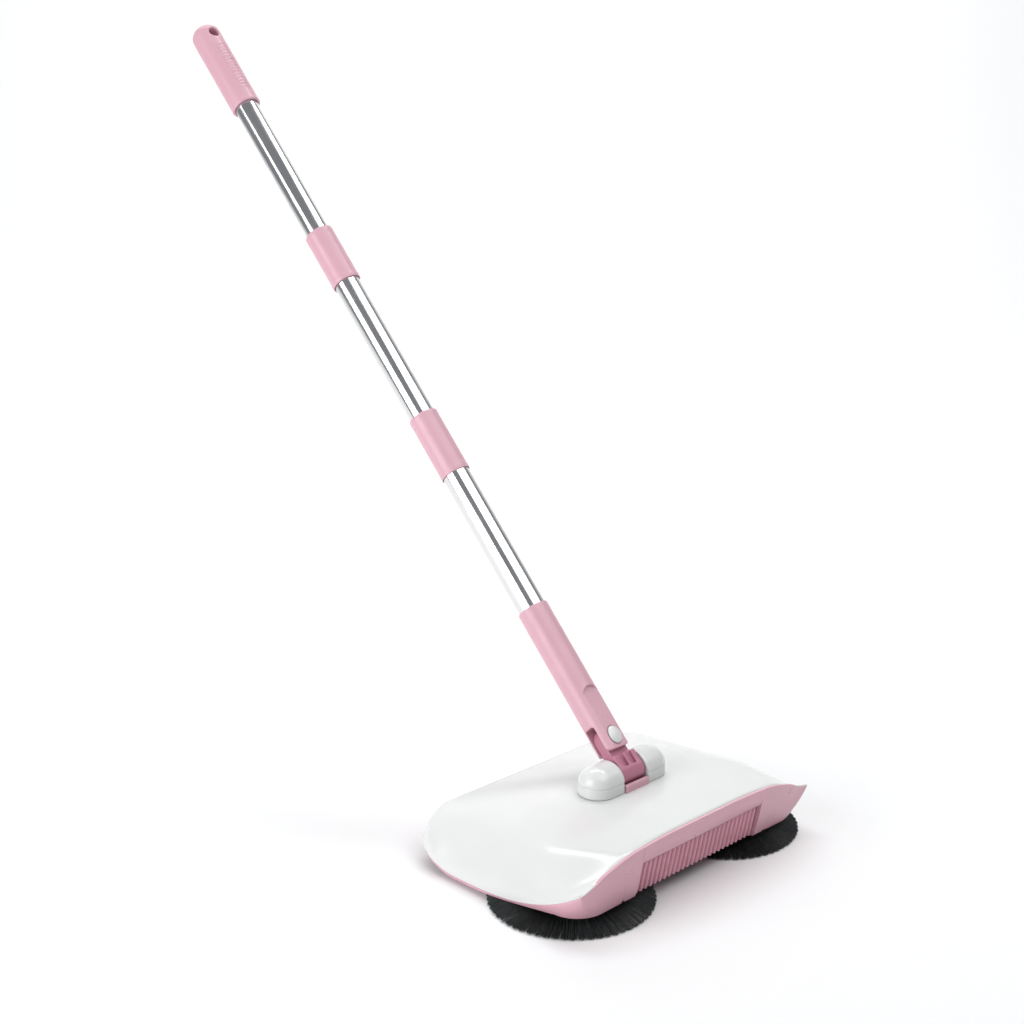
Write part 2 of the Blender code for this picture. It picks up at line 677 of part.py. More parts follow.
def build_lower_arm(frame):
    w = ARM_HALF_WIDTH
    d = ARM_HALF_DEPTH
    low = ARM_BOTTOM
    sections = [arm_section(low, w * 0.62, d, 2.6), arm_section(low + 0.0012, w * 0.86, d, 2.4),
                arm_section(low + 0.0040, w, d, 2.2), arm_section(0.058, w, d, 2.2),
                arm_section(0.088, w, w, 2.0), arm_section(ARM_TOP - 0.012, ARM_TOP_R, ARM_TOP_R, 2.0),
                arm_section(ARM_TOP - 0.001, ARM_TOP_R, ARM_TOP_R, 2.0),
                arm_section(ARM_TOP, ARM_TOP_R - 0.0006, ARM_TOP_R - 0.0006, 2.0)]
    lowered = [[(x, y, z - SWING_Z) for x, y, z in section] for section in sections]
    arm = place("lower_arm", loft(lowered), PINK, frame)
    half_gap = TONGUE_THICK / 2 + GAP
    cut(arm, box((-0.02, -half_gap, -0.02), (0.02, half_gap, SLOT_TOP - SWING_Z)))
    cut(arm, rod(LOWER_TUBE_R + GAP, SOCKET_BOTTOM - SWING_Z, 0.2, steps=TUBE_STEPS))
    cut(arm, rod(PIN_R + GAP, -0.03, 0.03, AXIS_Y))
    for side in (-1, 1):
        deep = side * (ARM_HALF_DEPTH - 0.0012)
        low_y = min(deep, deep + side * 0.01)
        oval = oval_outline(0.0050 + GAP, 0.0064 + GAP)
        cut(arm, flat(oval, 0.010, Matrix.Rotation(math.radians(90), 4, "X"), (0, low_y + 0.005, 0)))


def oval_outline(half_x, half_y, steps=24):
    angles = [2 * math.pi * i / steps for i in range(steps)]
    return [(half_x * math.cos(a), half_y * math.sin(a)) for a in angles]


def build_pin_button(name, side, frame):
    """The oval cap over an end of the swing pin."""
    inner = ARM_HALF_DEPTH - 0.0012 + GAP
    outer = ARM_HALF_DEPTH + 0.0014
    upright = Matrix.Rotation(math.radians(90), 4, "X")
    mesh = flat(oval_outline(0.0050, 0.0064), outer - inner, upright, (0, side * (inner + outer) / 2, 0))
    place(name, mesh, WHITE, frame)


def build_tube(name, radius, span, material, frame, base):
    profile = ring(radius, radius - TUBE_WALL, span[0] - base, span[1] - base)
    turned(name, profile, material, frame, closed=True)


def build_lock(name, span, parent, parent_base, radii, tube_end):
    """A twist collar on the end of the outer tube, and the split sleeve that it squeezes on the inner one."""
    outer_tube, inner_tube = radii
    bore = inner_tube + GAP
    sleeve = ring(bore + SLEEVE_THICK, bore, tube_end + 0.0008 - parent_base, span[1] - 0.0043 - parent_base)
    turned(name + "_lock_sleeve", sleeve, DARK, parent, closed=True)
    frame = make_frame(name + "_lock_axis", (0.0, 0.0, span[0] - parent_base), parent=parent)
    top = span[1] - span[0]
    shelf = tube_end - span[0] + 0.0005
    roof = top - 0.0040
    edge = COLLAR_R - 0.0006
    room = bore + SLEEVE_THICK + GAP
    low_bore = outer_tube + GAP
    profile = [(edge, top), (COLLAR_R, top - 0.0008), (COLLAR_R, 0.0008), (edge, 0.0), (low_bore, 0.0),
               (low_bore, shelf), (room, shelf + 0.0001), (room, roof), (bore, roof), (bore, top)]
    turned(name + "_collar", profile, PINK, frame, closed=True)


def build_grip(frame, base):
    top = GRIP_SPAN[1] - base
    bottom = GRIP_SPAN[0] - base
    bore = UPPER_TUBE_R + GAP
    socket = UPPER_TUBE_SPAN[1] - base + GAP
    dome = [(x, top - GRIP_R * 0.8 + y * 0.8) for x, y in arc((0, 0), GRIP_R, 90, 0, 5)]
    dome[0] = (0.0, top)
    profile = dome + [(GRIP_R - 0.0005, bottom + 0.030), (GRIP_R, bottom + 0.006), (GRIP_R, bottom + 0.0006),
                      (GRIP_R - 0.0006, bottom), (bore, bottom), (bore, socket), (0.0, socket)]
    grip = turned("grip", profile, PINK, frame)
    cut(grip, rod(HANG_HOLE_R, -0.03, 0.03, AXIS_Y, (0, 0, HANG_HOLE_Z - base), steps=24))


def build_handle():
    tilt = make_frame("tilt_axis", (0.0, PIVOT_Y, PIVOT_Z), (-LEAN, 0.0, 0.0))
    build_knuckle(tilt)
    swing = make_frame("swing_axis", (0.0, 0.0, SWING_Z), parent=tilt)
    half = ARM_HALF_DEPTH - 0.0012
    place("swing_pin", rod(PIN_R, -half, half, AXIS_Y), STEEL, swing)
    build_lower_arm(swing)
    build_pin_button("front_pin_button", -1, swing)
    build_pin_button("rear_pin_button", 1, swing)
    build_tube("lower_tube", LOWER_TUBE_R, LOWER_TUBE_SPAN, CHROME, swing, SWING_Z)
    build_lock("lower", LOWER_COLLAR_SPAN, swing, SWING_Z, (LOWER_TUBE_R, MIDDLE_TUBE_R), LOWER_TUBE_SPAN[1])
    base = MIDDLE_TUBE_SPAN[0]
    middle = make_frame("middle_tube_axis", (0.0, 0.0, base - SWING_Z), parent=swing)
    build_tube("middle_tube", MIDDLE_TUBE_R, MIDDLE_TUBE_SPAN, CHROME, middle, base)
    build_lock("upper", UPPER_COLLAR_SPAN, middle, base, (MIDDLE_TUBE_R, UPPER_TUBE_R), MIDDLE_TUBE_SPAN[1])
    upper_base = UPPER_TUBE_SPAN[0]
    upper = make_frame("upper_tube_axis", (0.0, 0.0, upper_base - base), parent=middle)
    build_tube("upper_tube", UPPER_TUBE_R, UPPER_TUBE_SPAN, CHROME, upper, upper_base)
    build_grip(upper, upper_base)


# ---------------------------------------------------------------- the object

clear_scene()
PARTS = make_collection("carpet_sweeper")
CUTTERS = make_collection("cutters")
WHITE = make_material("white_gloss_plastic", (0.84, 0.86, 0.86), 0.14)
PINK = make_material("pink_plastic", (0.76, 0.40, 0.49), 0.32)
PINK_SHADE = make_material("dusky_pink_plastic", (0.60, 0.25, 0.34), 0.40)
CHROME = make_material("polished_steel", (0.78, 0.78, 0.78), 0.08, 1.0)
STEEL = make_material("plain_steel", (0.55, 0.56, 0.57), 0.30, 1.0)
RUBBER = make_material("black_rubber", (0.03, 0.03, 0.03), 0.80)
DARK = make_material("dark_plastic", (0.05, 0.05, 0.055), 0.50)
BRISTLE = make_material("black_bristle", (0.022, 0.026, 0.026), 0.62)
BRASSY = make_material("natural_nylon", (0.80, 0.78, 0.70), 0.45)
SMOKE = make_material("smoke_plastic", (0.34, 0.35, 0.36), 0.25)

build_top_cover()
build_base_housing()
build_front_grille()
build_bottom_plate()
build_rear_roller("left_rear", -ROLLER_X)
build_rear_roller("right_rear", ROLLER_X)
build_dust_bin()
build_wiper_lip()
build_hinge_cradle()
build_hinge_cap("left_hinge_cap", -1)
build_hinge_cap("right_hinge_cap", 1)
build_tilt_pin()
build_cover_screws()
build_drive()
build_brush("left", -1)
build_brush("right", 1)
build_handle()
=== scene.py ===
"""The looks of the carpet sweeper: smooth mouldings, tufted brushes and worked materials."""
import json
import math
import random

import bmesh
import bpy
import numpy as np
from mathutils import Matrix, Vector


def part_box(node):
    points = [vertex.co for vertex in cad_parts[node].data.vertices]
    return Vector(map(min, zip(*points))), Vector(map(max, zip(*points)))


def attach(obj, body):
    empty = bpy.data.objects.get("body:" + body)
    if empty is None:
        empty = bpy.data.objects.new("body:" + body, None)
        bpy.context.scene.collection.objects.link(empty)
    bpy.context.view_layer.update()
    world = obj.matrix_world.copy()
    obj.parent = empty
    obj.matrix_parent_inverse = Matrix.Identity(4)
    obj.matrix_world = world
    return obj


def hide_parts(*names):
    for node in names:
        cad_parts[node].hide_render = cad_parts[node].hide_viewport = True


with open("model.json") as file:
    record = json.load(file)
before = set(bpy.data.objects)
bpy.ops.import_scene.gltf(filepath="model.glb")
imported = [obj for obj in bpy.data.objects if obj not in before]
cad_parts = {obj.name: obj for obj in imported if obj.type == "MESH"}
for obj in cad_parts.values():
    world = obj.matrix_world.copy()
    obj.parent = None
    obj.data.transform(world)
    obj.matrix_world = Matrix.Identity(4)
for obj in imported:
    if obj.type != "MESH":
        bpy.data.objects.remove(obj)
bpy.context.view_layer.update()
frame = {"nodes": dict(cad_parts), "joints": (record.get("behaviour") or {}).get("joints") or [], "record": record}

NODES = frame["nodes"]
JOINTS = {joint["name"]: joint for joint in frame["joints"]}

# Head outline, as the frame has it
HEAD_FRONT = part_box("base_housing")[0].y
COVER_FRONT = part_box("top_cover")[0].y
COVER_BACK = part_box("top_cover")[1].y
HALF_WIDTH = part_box("top_cover")[1].x
TOP_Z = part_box("top_cover")[1].z
TOP_DROP = 0.0150
TOP_FALL_START = 0.004
SHOULDER_FRONT_Z = 0.0465
SKIN = 0.0022
FRONT_TUCK = 0.0016
BACK_TUCK = 0.0100
BACK_TUCK_START = 0.050
NOSE_LENGTH = 0.055
SWEEP_LENGTH = 0.1215
TIP_Z_SIDE = 0.0050
TIP_Z_FRONT = 0.0350
CREASE_SIDE = 0.089
CREASE_FRONT = 0.058
BOTTOM_Z_SIDE = 0.0018
BOTTOM_Z_FRONT = 0.0105
SKIRT_FALL = (-0.062, 0.024)
HEEL_RISE = (0.036, 0.070)
HEEL_HEIGHT = 0.0070
UNDERCUT = 0.42
FRONT_SLOPE = 0.20

# Handle axis: along it Z, its front is -Y
PIVOT = Vector(JOINTS["handle_tilt"]["pos_m"])
ALONG = Vector(JOINTS["middle_pole_slide"]["axis"])
HANDLE = Matrix.Translation(PIVOT) @ Matrix.Rotation(-math.atan2(ALONG.y, ALONG.z), 4, "X")
SWING_Z = (Vector(JOINTS["handle_swing"]["pos_m"]) - PIVOT).length
FORK_SLOT_TOP = 0.035
HANG_HOLE_Z = 0.6425
FIT = 0.0003

# Pink surround: how far its border stays inside and under the cover's, and its front corner
SEAM_IN = 0.0002
SEAM_DROP = 0.0006
CORNER_Y = -0.0545
CORNER_RADIUS = 0.021
CORNER_TIP_SHARE = 0.6

POCKET = (PIVOT.y - 0.0115, PIVOT.y + 0.0165)
POCKET_HALF = -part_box("left_hinge_cap")[1].x - FIT

BRUSH_HUB_R = 0.0200
BRUSH_R = 0.0545
TUFTS = 60
BRISTLES_PER_TUFT = 46


def handle_span(node):
    """Lowest and highest place of a node along the handle, and its outer radius there."""
    points = [HANDLE.inverted() @ v.co for v in NODES[node].data.vertices]
    heights = [p.z for p in points]
    return min(heights), max(heights), max(math.hypot(p.x, p.y) for p in points)


# ---------------------------------------------------------------- materials

class Paint:
    """A Principled material whose noise textures are laid in the piece's own space, in metres."""

    def __init__(self, name, colour, roughness, metallic=0.0, **sockets):
        self.material = bpy.data.materials.new(name)
        self.material.use_nodes = True
        self.tree = self.material.node_tree
        self.shader = self.tree.nodes["Principled BSDF"]
        self.shader.inputs["Base Color"].default_value = (*colour, 1.0)
        self.shader.inputs["Roughness"].default_value = roughness
        self.shader.inputs["Metallic"].default_value = metallic
        for socket, value in sockets.items():
            self.shader.inputs[socket.replace("_", " ")].default_value = value
        self.space = self.tree.nodes.new("ShaderNodeTexCoord").outputs["Object"]

    def link(self, source, target):
        self.tree.links.new(source, target)

    def noise(self, size, detail=3.0, stretch=(1.0, 1.0, 1.0)):
        """A noise whose features are about size across, drawn out along an axis by a small stretch there."""
        mapping = self.tree.nodes.new("ShaderNodeMapping")
        mapping.inputs["Scale"].default_value = stretch
        self.link(self.space, mapping.inputs["Vector"])
        texture = self.tree.nodes.new("ShaderNodeTexNoise")
        texture.inputs["Scale"].default_value = 1.0 / size
        texture.inputs["Detail"].default_value = detail
        self.link(mapping.outputs["Vector"], texture.inputs["Vector"])
        return texture.outputs["Fac"]

    def band(self, source, low, high, to_low=0.0, to_high=1.0):
        node = self.tree.nodes.new("ShaderNodeMapRange")
        node.inputs["From Min"].default_value = low
        node.inputs["From Max"].default_value = high
        node.inputs["To Min"].default_value = to_low
        node.inputs["To Max"].default_value = to_high
        self.link(source, node.inputs["Value"])
        return node.outputs["Result"]

    def sum(self, first, second):
        node = self.tree.nodes.new("ShaderNodeMath")
        node.operation = "ADD"
        self.link(first, node.inputs[0])
        self.link(second, node.inputs[1])
        return node.outputs["Value"]

    def colours(self, factor, first, second):
        node = self.tree.nodes.new("ShaderNodeMix")
        node.data_type = "RGBA"
        self.link(factor, node.inputs["Factor"])
        for socket, value in (("A", first), ("B", second)):
            target = [s for s in node.inputs if s.name == socket and s.type == "RGBA"][0]
            if isinstance(value, tuple):
                target.default_value = (*value, 1.0)
            else:
                self.link(value, target)
        return [s for s in node.outputs if s.type == "RGBA"][0]

    def colour(self, source):
        self.link(source, self.shader.inputs["Base Color"])

    def roughness(self, source):
        self.link(source, self.shader.inputs["Roughness"])

    def bump(self, source, depth, strength=1.0):
        node = self.tree.nodes.new("ShaderNodeBump")
        node.inputs["Strength"].default_value = strength
        node.inputs["Distance"].default_value = depth
        self.link(source, node.inputs["Height"])
        self.link(node.outputs["Normal"], self.shader.inputs["Normal"])


def shaded(colour, share):
    return tuple(channel * share for channel in colour)


def white_shell():
    """Polished white shell: slow clouds in the colour and in the gloss, and a few dull rubbed patches."""
    colour = (0.715, 0.718, 0.712)
    paint = Paint("white_shell", colour, 0.22, Coat_Weight=0.15, Coat_Roughness=0.14)
    cloud = paint.band(paint.noise(0.05, 4.0), 0.35, 0.70)
    paint.colour(paint.colours(cloud, colour, (0.69, 0.70, 0.692)))
    rubbed = paint.band(paint.noise(0.030, 5.0), 0.62, 0.80)
    gloss = paint.band(paint.noise(0.012, 5.0), 0.3, 0.8, 0.20, 0.26)
    paint.roughness(paint.sum(gloss, paint.band(rubbed, 0.0, 1.0, 0.0, 0.05)))
    paint.bump(paint.noise(0.018, 2.0), 0.00002, 0.20)
    return paint.material


def pink_plastic(name, colour, roughness, grain):
    """Moulded plastic: fine spark-eroded grain, slow colour drift and a patchy sheen."""
    paint = Paint(name, colour, roughness)
    drift = paint.band(paint.noise(0.030, 4.0), 0.3, 0.7)
    tinted = paint.colours(drift, colour, shaded(colour, 0.93))
    fine = paint.band(paint.noise(0.0016, 4.0), 0.3, 0.8)
    paint.colour(paint.colours(fine, tinted, shaded(colour, 0.96)))
    sheen = paint.band(paint.noise(0.015, 3.0), 0.3, 0.7, roughness - 0.05, roughness + 0.07)
    paint.roughness(paint.sum(sheen, paint.band(fine, 0.0, 1.0, 0.0, 0.04)))
    paint.bump(paint.noise(0.00045, 2.0), grain, 0.35)
    return paint.material


def polished_tube():
    """Bright steel tube: fine lines along it, faint hand marks and small dark specks."""
    paint = Paint("polished_tube", (0.80, 0.80, 0.80), 0.10, 1.0)
    lines = paint.noise(0.0005, 2.0, (1.0, 1.0, 0.01))
    hands = paint.band(paint.noise(0.025, 5.0), 0.35, 0.70, 0.07, 0.16)
    paint.roughness(paint.sum(hands, paint.band(lines, 0.3, 0.7, 0.0, 0.05)))
    specks = paint.band(paint.noise(0.0012, 2.0), 0.74, 0.80)
    paint.colour(paint.colours(specks, (0.80, 0.80, 0.80), (0.55, 0.54, 0.52)))
    paint.bump(lines, 0.000004, 0.4)
    return paint.material


def plain_steel():
    """Turned steel: a fine tooled grain and duller, darker clouds."""
    paint = Paint("turned_steel", (0.56, 0.57, 0.58), 0.30, 1.0)
    rings = paint.noise(0.0006, 3.0)
    paint.roughness(paint.band(rings, 0.3, 0.7, 0.22, 0.42))
    cloud = paint.band(paint.noise(0.004, 4.0), 0.4, 0.8)
    paint.colour(paint.colours(cloud, (0.58, 0.59, 0.60), (0.42, 0.41, 0.39)))
    paint.bump(rings, 0.00001, 0.4)
    return paint.material


def dull_black(name, colour, roughness, dust):
    """Rubber or dark plastic with a grain and pale dust in its clouds."""
    paint = Paint(name, colour, roughness)
    cloud = paint.band(paint.noise(0.006, 6.0), 0.50, 0.85, 0.0, dust)
    paint.colour(paint.colours(cloud, colour, (0.24, 0.235, 0.225)))
    paint.roughness(paint.band(paint.noise(0.002, 3.0), 0.3, 0.7, roughness - 0.08, roughness + 0.08))
    paint.bump(paint.noise(0.0006, 3.0), 0.00003, 0.4)
    return paint.material


def bristle_nylon():
    """Black filament: slightly glossy, with some hairs greyer than others."""
    colour = (0.020, 0.024, 0.024)
    paint = Paint("bristle_nylon", colour, 0.42)
    hairs = paint.band(paint.noise(0.0018, 3.0), 0.35, 0.75)
    paint.colour(paint.colours(hairs, colour, (0.060, 0.066, 0.066)))
    paint.roughness(paint.band(paint.noise(0.003, 2.0), 0.3, 0.7, 0.34, 0.55))
    paint.bump(paint.noise(0.0005, 1.0), 0.00002, 0.3)
    return paint.material


def gear_nylon():
    """Natural nylon: off-white, slightly clouded and waxy."""
    colour = (0.78, 0.76, 0.68)
    paint = Paint("gear_nylon", colour, 0.42, Subsurface_Weight=0.1)
    cloud = paint.band(paint.noise(0.008, 4.0), 0.3, 0.7)
    paint.colour(paint.colours(cloud, colour, (0.70, 0.67, 0.58)))
    paint.roughness(paint.band(paint.noise(0.002, 2.0), 0.3, 0.7, 0.36, 0.50))
    paint.bump(paint.noise(0.0007, 2.0), 0.00002, 0.3)
    return paint.material


def smoke_tray():
    """Smoke-grey tray plastic with dust in its clouds."""
    colour = (0.30, 0.31, 0.32)
    paint = Paint("smoke_tray", colour, 0.28)
    dust = paint.band(paint.noise(0.010, 6.0), 0.45, 0.80, 0.0, 0.5)
    paint.colour(paint.colours(dust, colour, (0.42, 0.41, 0.39)))
    paint.roughness(paint.band(paint.noise(0.004, 4.0), 0.3, 0.7, 0.22, 0.42))
    paint.bump(paint.noise(0.0010, 2.0), 0.00002, 0.3)
    return paint.material


def studio_floor():
    """Matt near-white paper."""
    paint = Paint("studio_floor", (0.88, 0.88, 0.88), 0.75)
    paint.colour(paint.colours(paint.noise(0.4, 2.0), (0.885, 0.885, 0.885), (0.875, 0.875, 0.875)))
    return paint.material


WHITE = white_shell()
PINK = pink_plastic("pink_moulding", (0.69, 0.395, 0.465), 0.30, 0.00003)
# Darker copy of the pink for the grille: the darkening is painted shade of the recess it sits in.
RECESS_SHADED_PINK = pink_plastic("pink_with_recess_shade", (0.66, 0.32, 0.40), 0.36, 0.00003)
# Much darker copy of the pink for the knuckle and the wheel rims: painted shade, since the knuckle sits in the
# shaded pocket between the humps.
SHADED_DARK_PINK = pink_plastic("pink_with_painted_shade", (0.52, 0.20, 0.29), 0.38, 0.00004)
TUBE_STEEL = polished_tube()
STEEL = plain_steel()
RUBBER = dull_black("soft_rubber", (0.030, 0.030, 0.030), 0.78, 0.35)
DARK = dull_black("dark_moulding", (0.045, 0.045, 0.050), 0.48, 0.20)
BRISTLE = bristle_nylon()
GEAR = gear_nylon()
TRAY = smoke_tray()
# The slot dusky_pink takes the two darker copies of the pink, whose darkening is painted shade.
SLOT_OF = {WHITE: "white_gloss", PINK: "pink", RECESS_SHADED_PINK: "dusky_pink", SHADED_DARK_PINK: "dusky_pink", STEEL: "plain_steel",
           TUBE_STEEL: "polished_steel", RUBBER: "rubber", DARK: "dark_plastic", BRISTLE: "bristle",
           GEAR: "nylon", TRAY: "smoke"}


# ---------------------------------------------------------------- making pieces

def shade(mesh, crease):
    """Smooth shading that breaks where faces meet at more than crease degrees."""
    mesh.shade_smooth()
    mesh.set_sharp_from_angle(angle=math.radians(crease))


def piece(name, mesh, material, body, replaces=(), place=Matrix(), crease=35.0):
    """A finished mesh as a named piece that rides on a body of the frame."""
    mesh.name = name
    mesh.materials.clear()
    mesh.materials.append(material)
    shade(mesh, crease)
    thing = bpy.data.objects.new(name, mesh)
    thing.matrix_world = place
    bpy.context.scene.collection.objects.link(thing)
    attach(thing, body)
    if replaces:
        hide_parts(*replaces)
    return thing


def to_mesh(bm):
    """Ends a bmesh as a mesh whose faces look outward."""
    bmesh.ops.recalc_face_normals(bm, faces=bm.faces)
    mesh = bpy.data.meshes.new("shape")
    bm.to_mesh(mesh)
    bm.free()
    return mesh


def rings_mesh(rings, closed_rings=True, closed_run=False, caps=False):
    """Quads between neighbouring rings of equal length."""
    bm = bmesh.new()
    rows = [[bm.verts.new(point) for point in ring] for ring in rings]
    count = len(rows[0])
    pairs = list(zip(rows, rows[1:]))
    if closed_run:
        pairs.append((rows[-1], rows[0]))
    for near, far in pairs:
        for i in range(count if closed_rings else count - 1):
            j = (i + 1) % count
            bm.faces.new((near[i], near[j], far[j], far[i]))
    if caps:
        bm.faces.new(rows[0][::-1])
        bm.faces.new(rows[-1])
    return to_mesh(bm)


def softened(outline, radius, steps):
    """A closed outline with each corner replaced by a short arc."""
    count = len(outline)
    result = []
    for i, corner in enumerate(outline):
        here = Vector(corner)
        before = Vector(outline[i - 1]) - here
        after = Vector(outline[(i + 1) % count]) - here
        reach = min(radius, before.length * 0.45, after.length * 0.45)
        start = here + before.normalized() * reach
        end = here + after.normalized() * reach
        for k in range(steps + 1):
            t = k / steps
            point = start * (1 - t) ** 2 + here * 2 * t * (1 - t) + end * t ** 2
            result.append((point.x, point.y))
    return result


def lathe(profile, steps=96, radius_at=None):
    """A closed profile of (radius, height) spun about Z; radius_at may change the radius with the angle."""
    rings = []
    for k in range(steps):
        angle = 2 * math.pi * k / steps
        ring = []
        for radius, height in profile:
            r = radius_at(radius, height, angle) if radius_at else radius
            ring.append((r * math.cos(angle), r * math.sin(angle), height))
        rings.append(ring)
    return rings_mesh(rings, closed_run=True)


def capped_lathe(profile, steps=96):
    """As lathe, for a profile whose first and last points lie on the axis."""
    bm = bmesh.new()
    top = bm.verts.new((0.0, 0.0, profile[0][1]))
    bottom = bm.verts.new((0.0, 0.0, profile[-1][1]))
    rows = []
    for k in range(steps):
        angle = 2 * math.pi * k / steps
        rows.append([bm.verts.new((r * math.cos(angle), r * math.sin(angle), z)) for r, z in profile[1:-1]])
    for k in range(steps):
        near = rows[k]
        far = rows[(k + 1) % steps]
        bm.faces.new((top, near[0], far[0]))
        bm.faces.new((bottom, far[-1], near[-1]))
        for i in range(len(near) - 1):
            bm.faces.new((near[i], near[i + 1], far[i + 1], far[i]))
    return to_mesh(bm)


def plate(outline, thickness, bevel, turn, steps):
    """A closed outline in XY, filled and made thick along Z, with round edges."""
    curve = bpy.data.curves.new("outline", "CURVE")
    curve.dimensions = "2D"
    curve.fill_mode = "BOTH"
    curve.bevel_depth = bevel
    curve.bevel_resolution = steps
    curve.offset = -bevel
    curve.extrude = thickness / 2 - bevel
    spline = curve.splines.new("POLY")
    spline.points.add(len(outline) - 1)
    for point, (x, y) in zip(spline.points, outline):
        point.co = (x, y, 0.0, 1.0)
    spline.use_cyclic_u = True
    holder = bpy.data.objects.new("outline", curve)
    bpy.context.scene.collection.objects.link(holder)
    bpy.context.view_layer.update()
    mesh = bpy.data.meshes.new_from_object(holder)
    bpy.data.objects.remove(holder, do_unlink=True)
    bm = bmesh.new()
    bm.from_mesh(mesh)
    bmesh.ops.remove_doubles(bm, verts=bm.verts, dist=0.000005)
    bmesh.ops.transform(bm, matrix=turn, verts=bm.verts)
    return to_mesh(bm)


# ---------------------------------------------------------------- solids from distance fields

def block(p, centre, half, rounding):
    """Distance to a box with rounded edges."""
    q = np.abs(p - np.array(centre)) - (np.array(half) - rounding)
    return np.linalg.norm(np.maximum(q, 0.0), axis=-1) + np.minimum(q.max(-1), 0.0) - rounding


def drum(p, centre, axis, radius, half_length, rounding):
    """Distance to a cylinder along one axis with rounded rims."""
    q = p - np.array(centre)
    across = [i for i in range(3) if i != axis]
    rim = np.hypot(q[..., across[0]], q[..., across[1]]) - (radius - rounding)
    end = np.abs(q[..., axis]) - (half_length - rounding)
    outside = np.hypot(np.maximum(rim, 0.0), np.maximum(end, 0.0))
    return outside + np.minimum(np.maximum(rim, end), 0.0) - rounding


def merged(a, b, soft):
    """Both solids, with a fillet about soft deep between them."""
    share = np.clip(0.5 + 0.5 * (b - a) / soft, 0.0, 1.0)
    return b + (a - b) * share - soft * share * (1.0 - share)


def carved(a, b, soft):
    """The first solid without the second."""
    return -merged(-a, b, soft)


def kept(a, b, soft):
    """What lies in both solids."""
    return -merged(-a, -b, soft)


def slope(field, points, step=0.00002):
    """The direction in which a field rises, at each point."""
    rise = []
    for axis in range(3):
        shift = np.zeros(3)
        shift[axis] = step
        rise.append((field(points + shift) - field(points - shift)) / (2 * step))
    return np.stack(rise, -1)


def skin_of(field, low, high, cell):
    """A mesh on a distance field's zero level: one point in each mixed cell, moved onto the level."""
    low = np.array(low)
    counts = np.ceil((np.array(high) - low) / cell).astype(int) + 1
    axes = [low[i] + cell * np.arange(counts[i]) for i in range(3)]
    inside = field(np.stack(np.meshgrid(*axes, indexing="ij"), -1)) < 0.0
    corners = sum(inside[x:counts[0] - 1 + x, y:counts[1] - 1 + y, z:counts[2] - 1 + z].astype(int)
                  for x in (0, 1) for y in (0, 1) for z in (0, 1))
    mixed = (corners > 0) & (corners < 8)
    index = np.full(mixed.shape, -1)
    index[mixed] = np.arange(mixed.sum())
    points = low + cell * (np.argwhere(mixed) + 0.5)
    for _ in range(5):
        rise = slope(field, points)
        points -= rise * (field(points) / np.maximum((rise ** 2).sum(-1), 0.3))[:, None]
    quads = []
    for axis in range(3):
        b = (axis + 1) % 3
        c = (axis + 2) % 3
        lower = np.take(inside, np.arange(counts[axis] - 1), axis)
        upper = np.take(inside, np.arange(1, counts[axis]), axis)
        spots = np.argwhere(lower != upper)
        spots = spots[(spots[:, b] > 0) & (spots[:, c] > 0) & (spots[:, b] < counts[b] - 1)
                      & (spots[:, c] < counts[c] - 1)]
        step_b = np.eye(3, dtype=int)[b]
        step_c = np.eye(3, dtype=int)[c]
        around = [spots, spots - step_b, spots - step_b - step_c, spots - step_c]
        faces = np.stack([index[tuple(s.T)] for s in around], -1)
        outward = lower[tuple(spots.T)]
        faces[~outward] = faces[~outward][:, ::-1]
        quads.append(faces)
    mesh = bpy.data.meshes.new("field")
    mesh.from_pydata(points.tolist(), [], np.concatenate(quads).tolist())
    mesh.update()
    return mesh


# ---------------------------------------------------------------- head outline

def nose(y):
    """How far the section has turned into the front's S-curve: 1 at the front, 0 behind the nose."""
    return max(0.0, 1.0 - (y - HEAD_FRONT) / NOSE_LENGTH) ** 2


def top_z(y):
    """Height of the top along the middle."""
    fall = max(0.0, (y - TOP_FALL_START) / (COVER_BACK - TOP_FALL_START))
    return TOP_Z - TOP_DROP * fall ** 1.5


def shoulder_z(y):
    """Height of the top at the crease, where the side rolls down."""
    back = TOP_Z - TOP_DROP
    left = max(0.0, (COVER_BACK - y) / (COVER_BACK - HEAD_FRONT))
    return back + (SHOULDER_FRONT_Z - back) * left ** 0.75


def eased(y, span):
    """A smooth step from 0 to 1 over the span."""
    t = min(1.0, max(0.0, (y - span[0]) / (span[1] - span[0])))
    return t * t * (3 - 2 * t)


def tip_z(y):
    """Height of the cover's lower border."""
    sweep = max(0.0, 1.0 - (y - HEAD_FRONT) / SWEEP_LENGTH) ** 3
    return TIP_Z_SIDE + (TIP_Z_FRONT - TIP_Z_SIDE) * sweep + HEEL_HEIGHT * eased(y, HEEL_RISE)


def back_share(y):
    """How far the plan has tucked in towards the back corner."""
    return max(0.0, (y - BACK_TUCK_START) / (COVER_BACK - BACK_TUCK_START)) ** 2


def tip_x(y):
    """Half width at the cover's lower border."""
    return HALF_WIDTH - BACK_TUCK * back_share(y) - FRONT_TUCK * max(0.0, y / HEAD_FRONT) ** 6


def crease_x(y):
    """Half width of the flat top."""
    return CREASE_SIDE + (CREASE_FRONT - CREASE_SIDE) * nose(y) - BACK_TUCK * back_share(y) / 2


def bottom_z(y):
    """Height of the pink skirt's lower edge."""
    fall = eased(y, SKIRT_FALL)
    return BOTTOM_Z_FRONT + (BOTTOM_Z_SIDE - BOTTOM_Z_FRONT) * fall + HEEL_HEIGHT * eased(y, HEEL_RISE)


def bottom_x(y):
    """Half width at the skirt's lower edge, which slopes inward."""
    return tip_x(y) - UNDERCUT * (tip_z(y) - bottom_z(y))


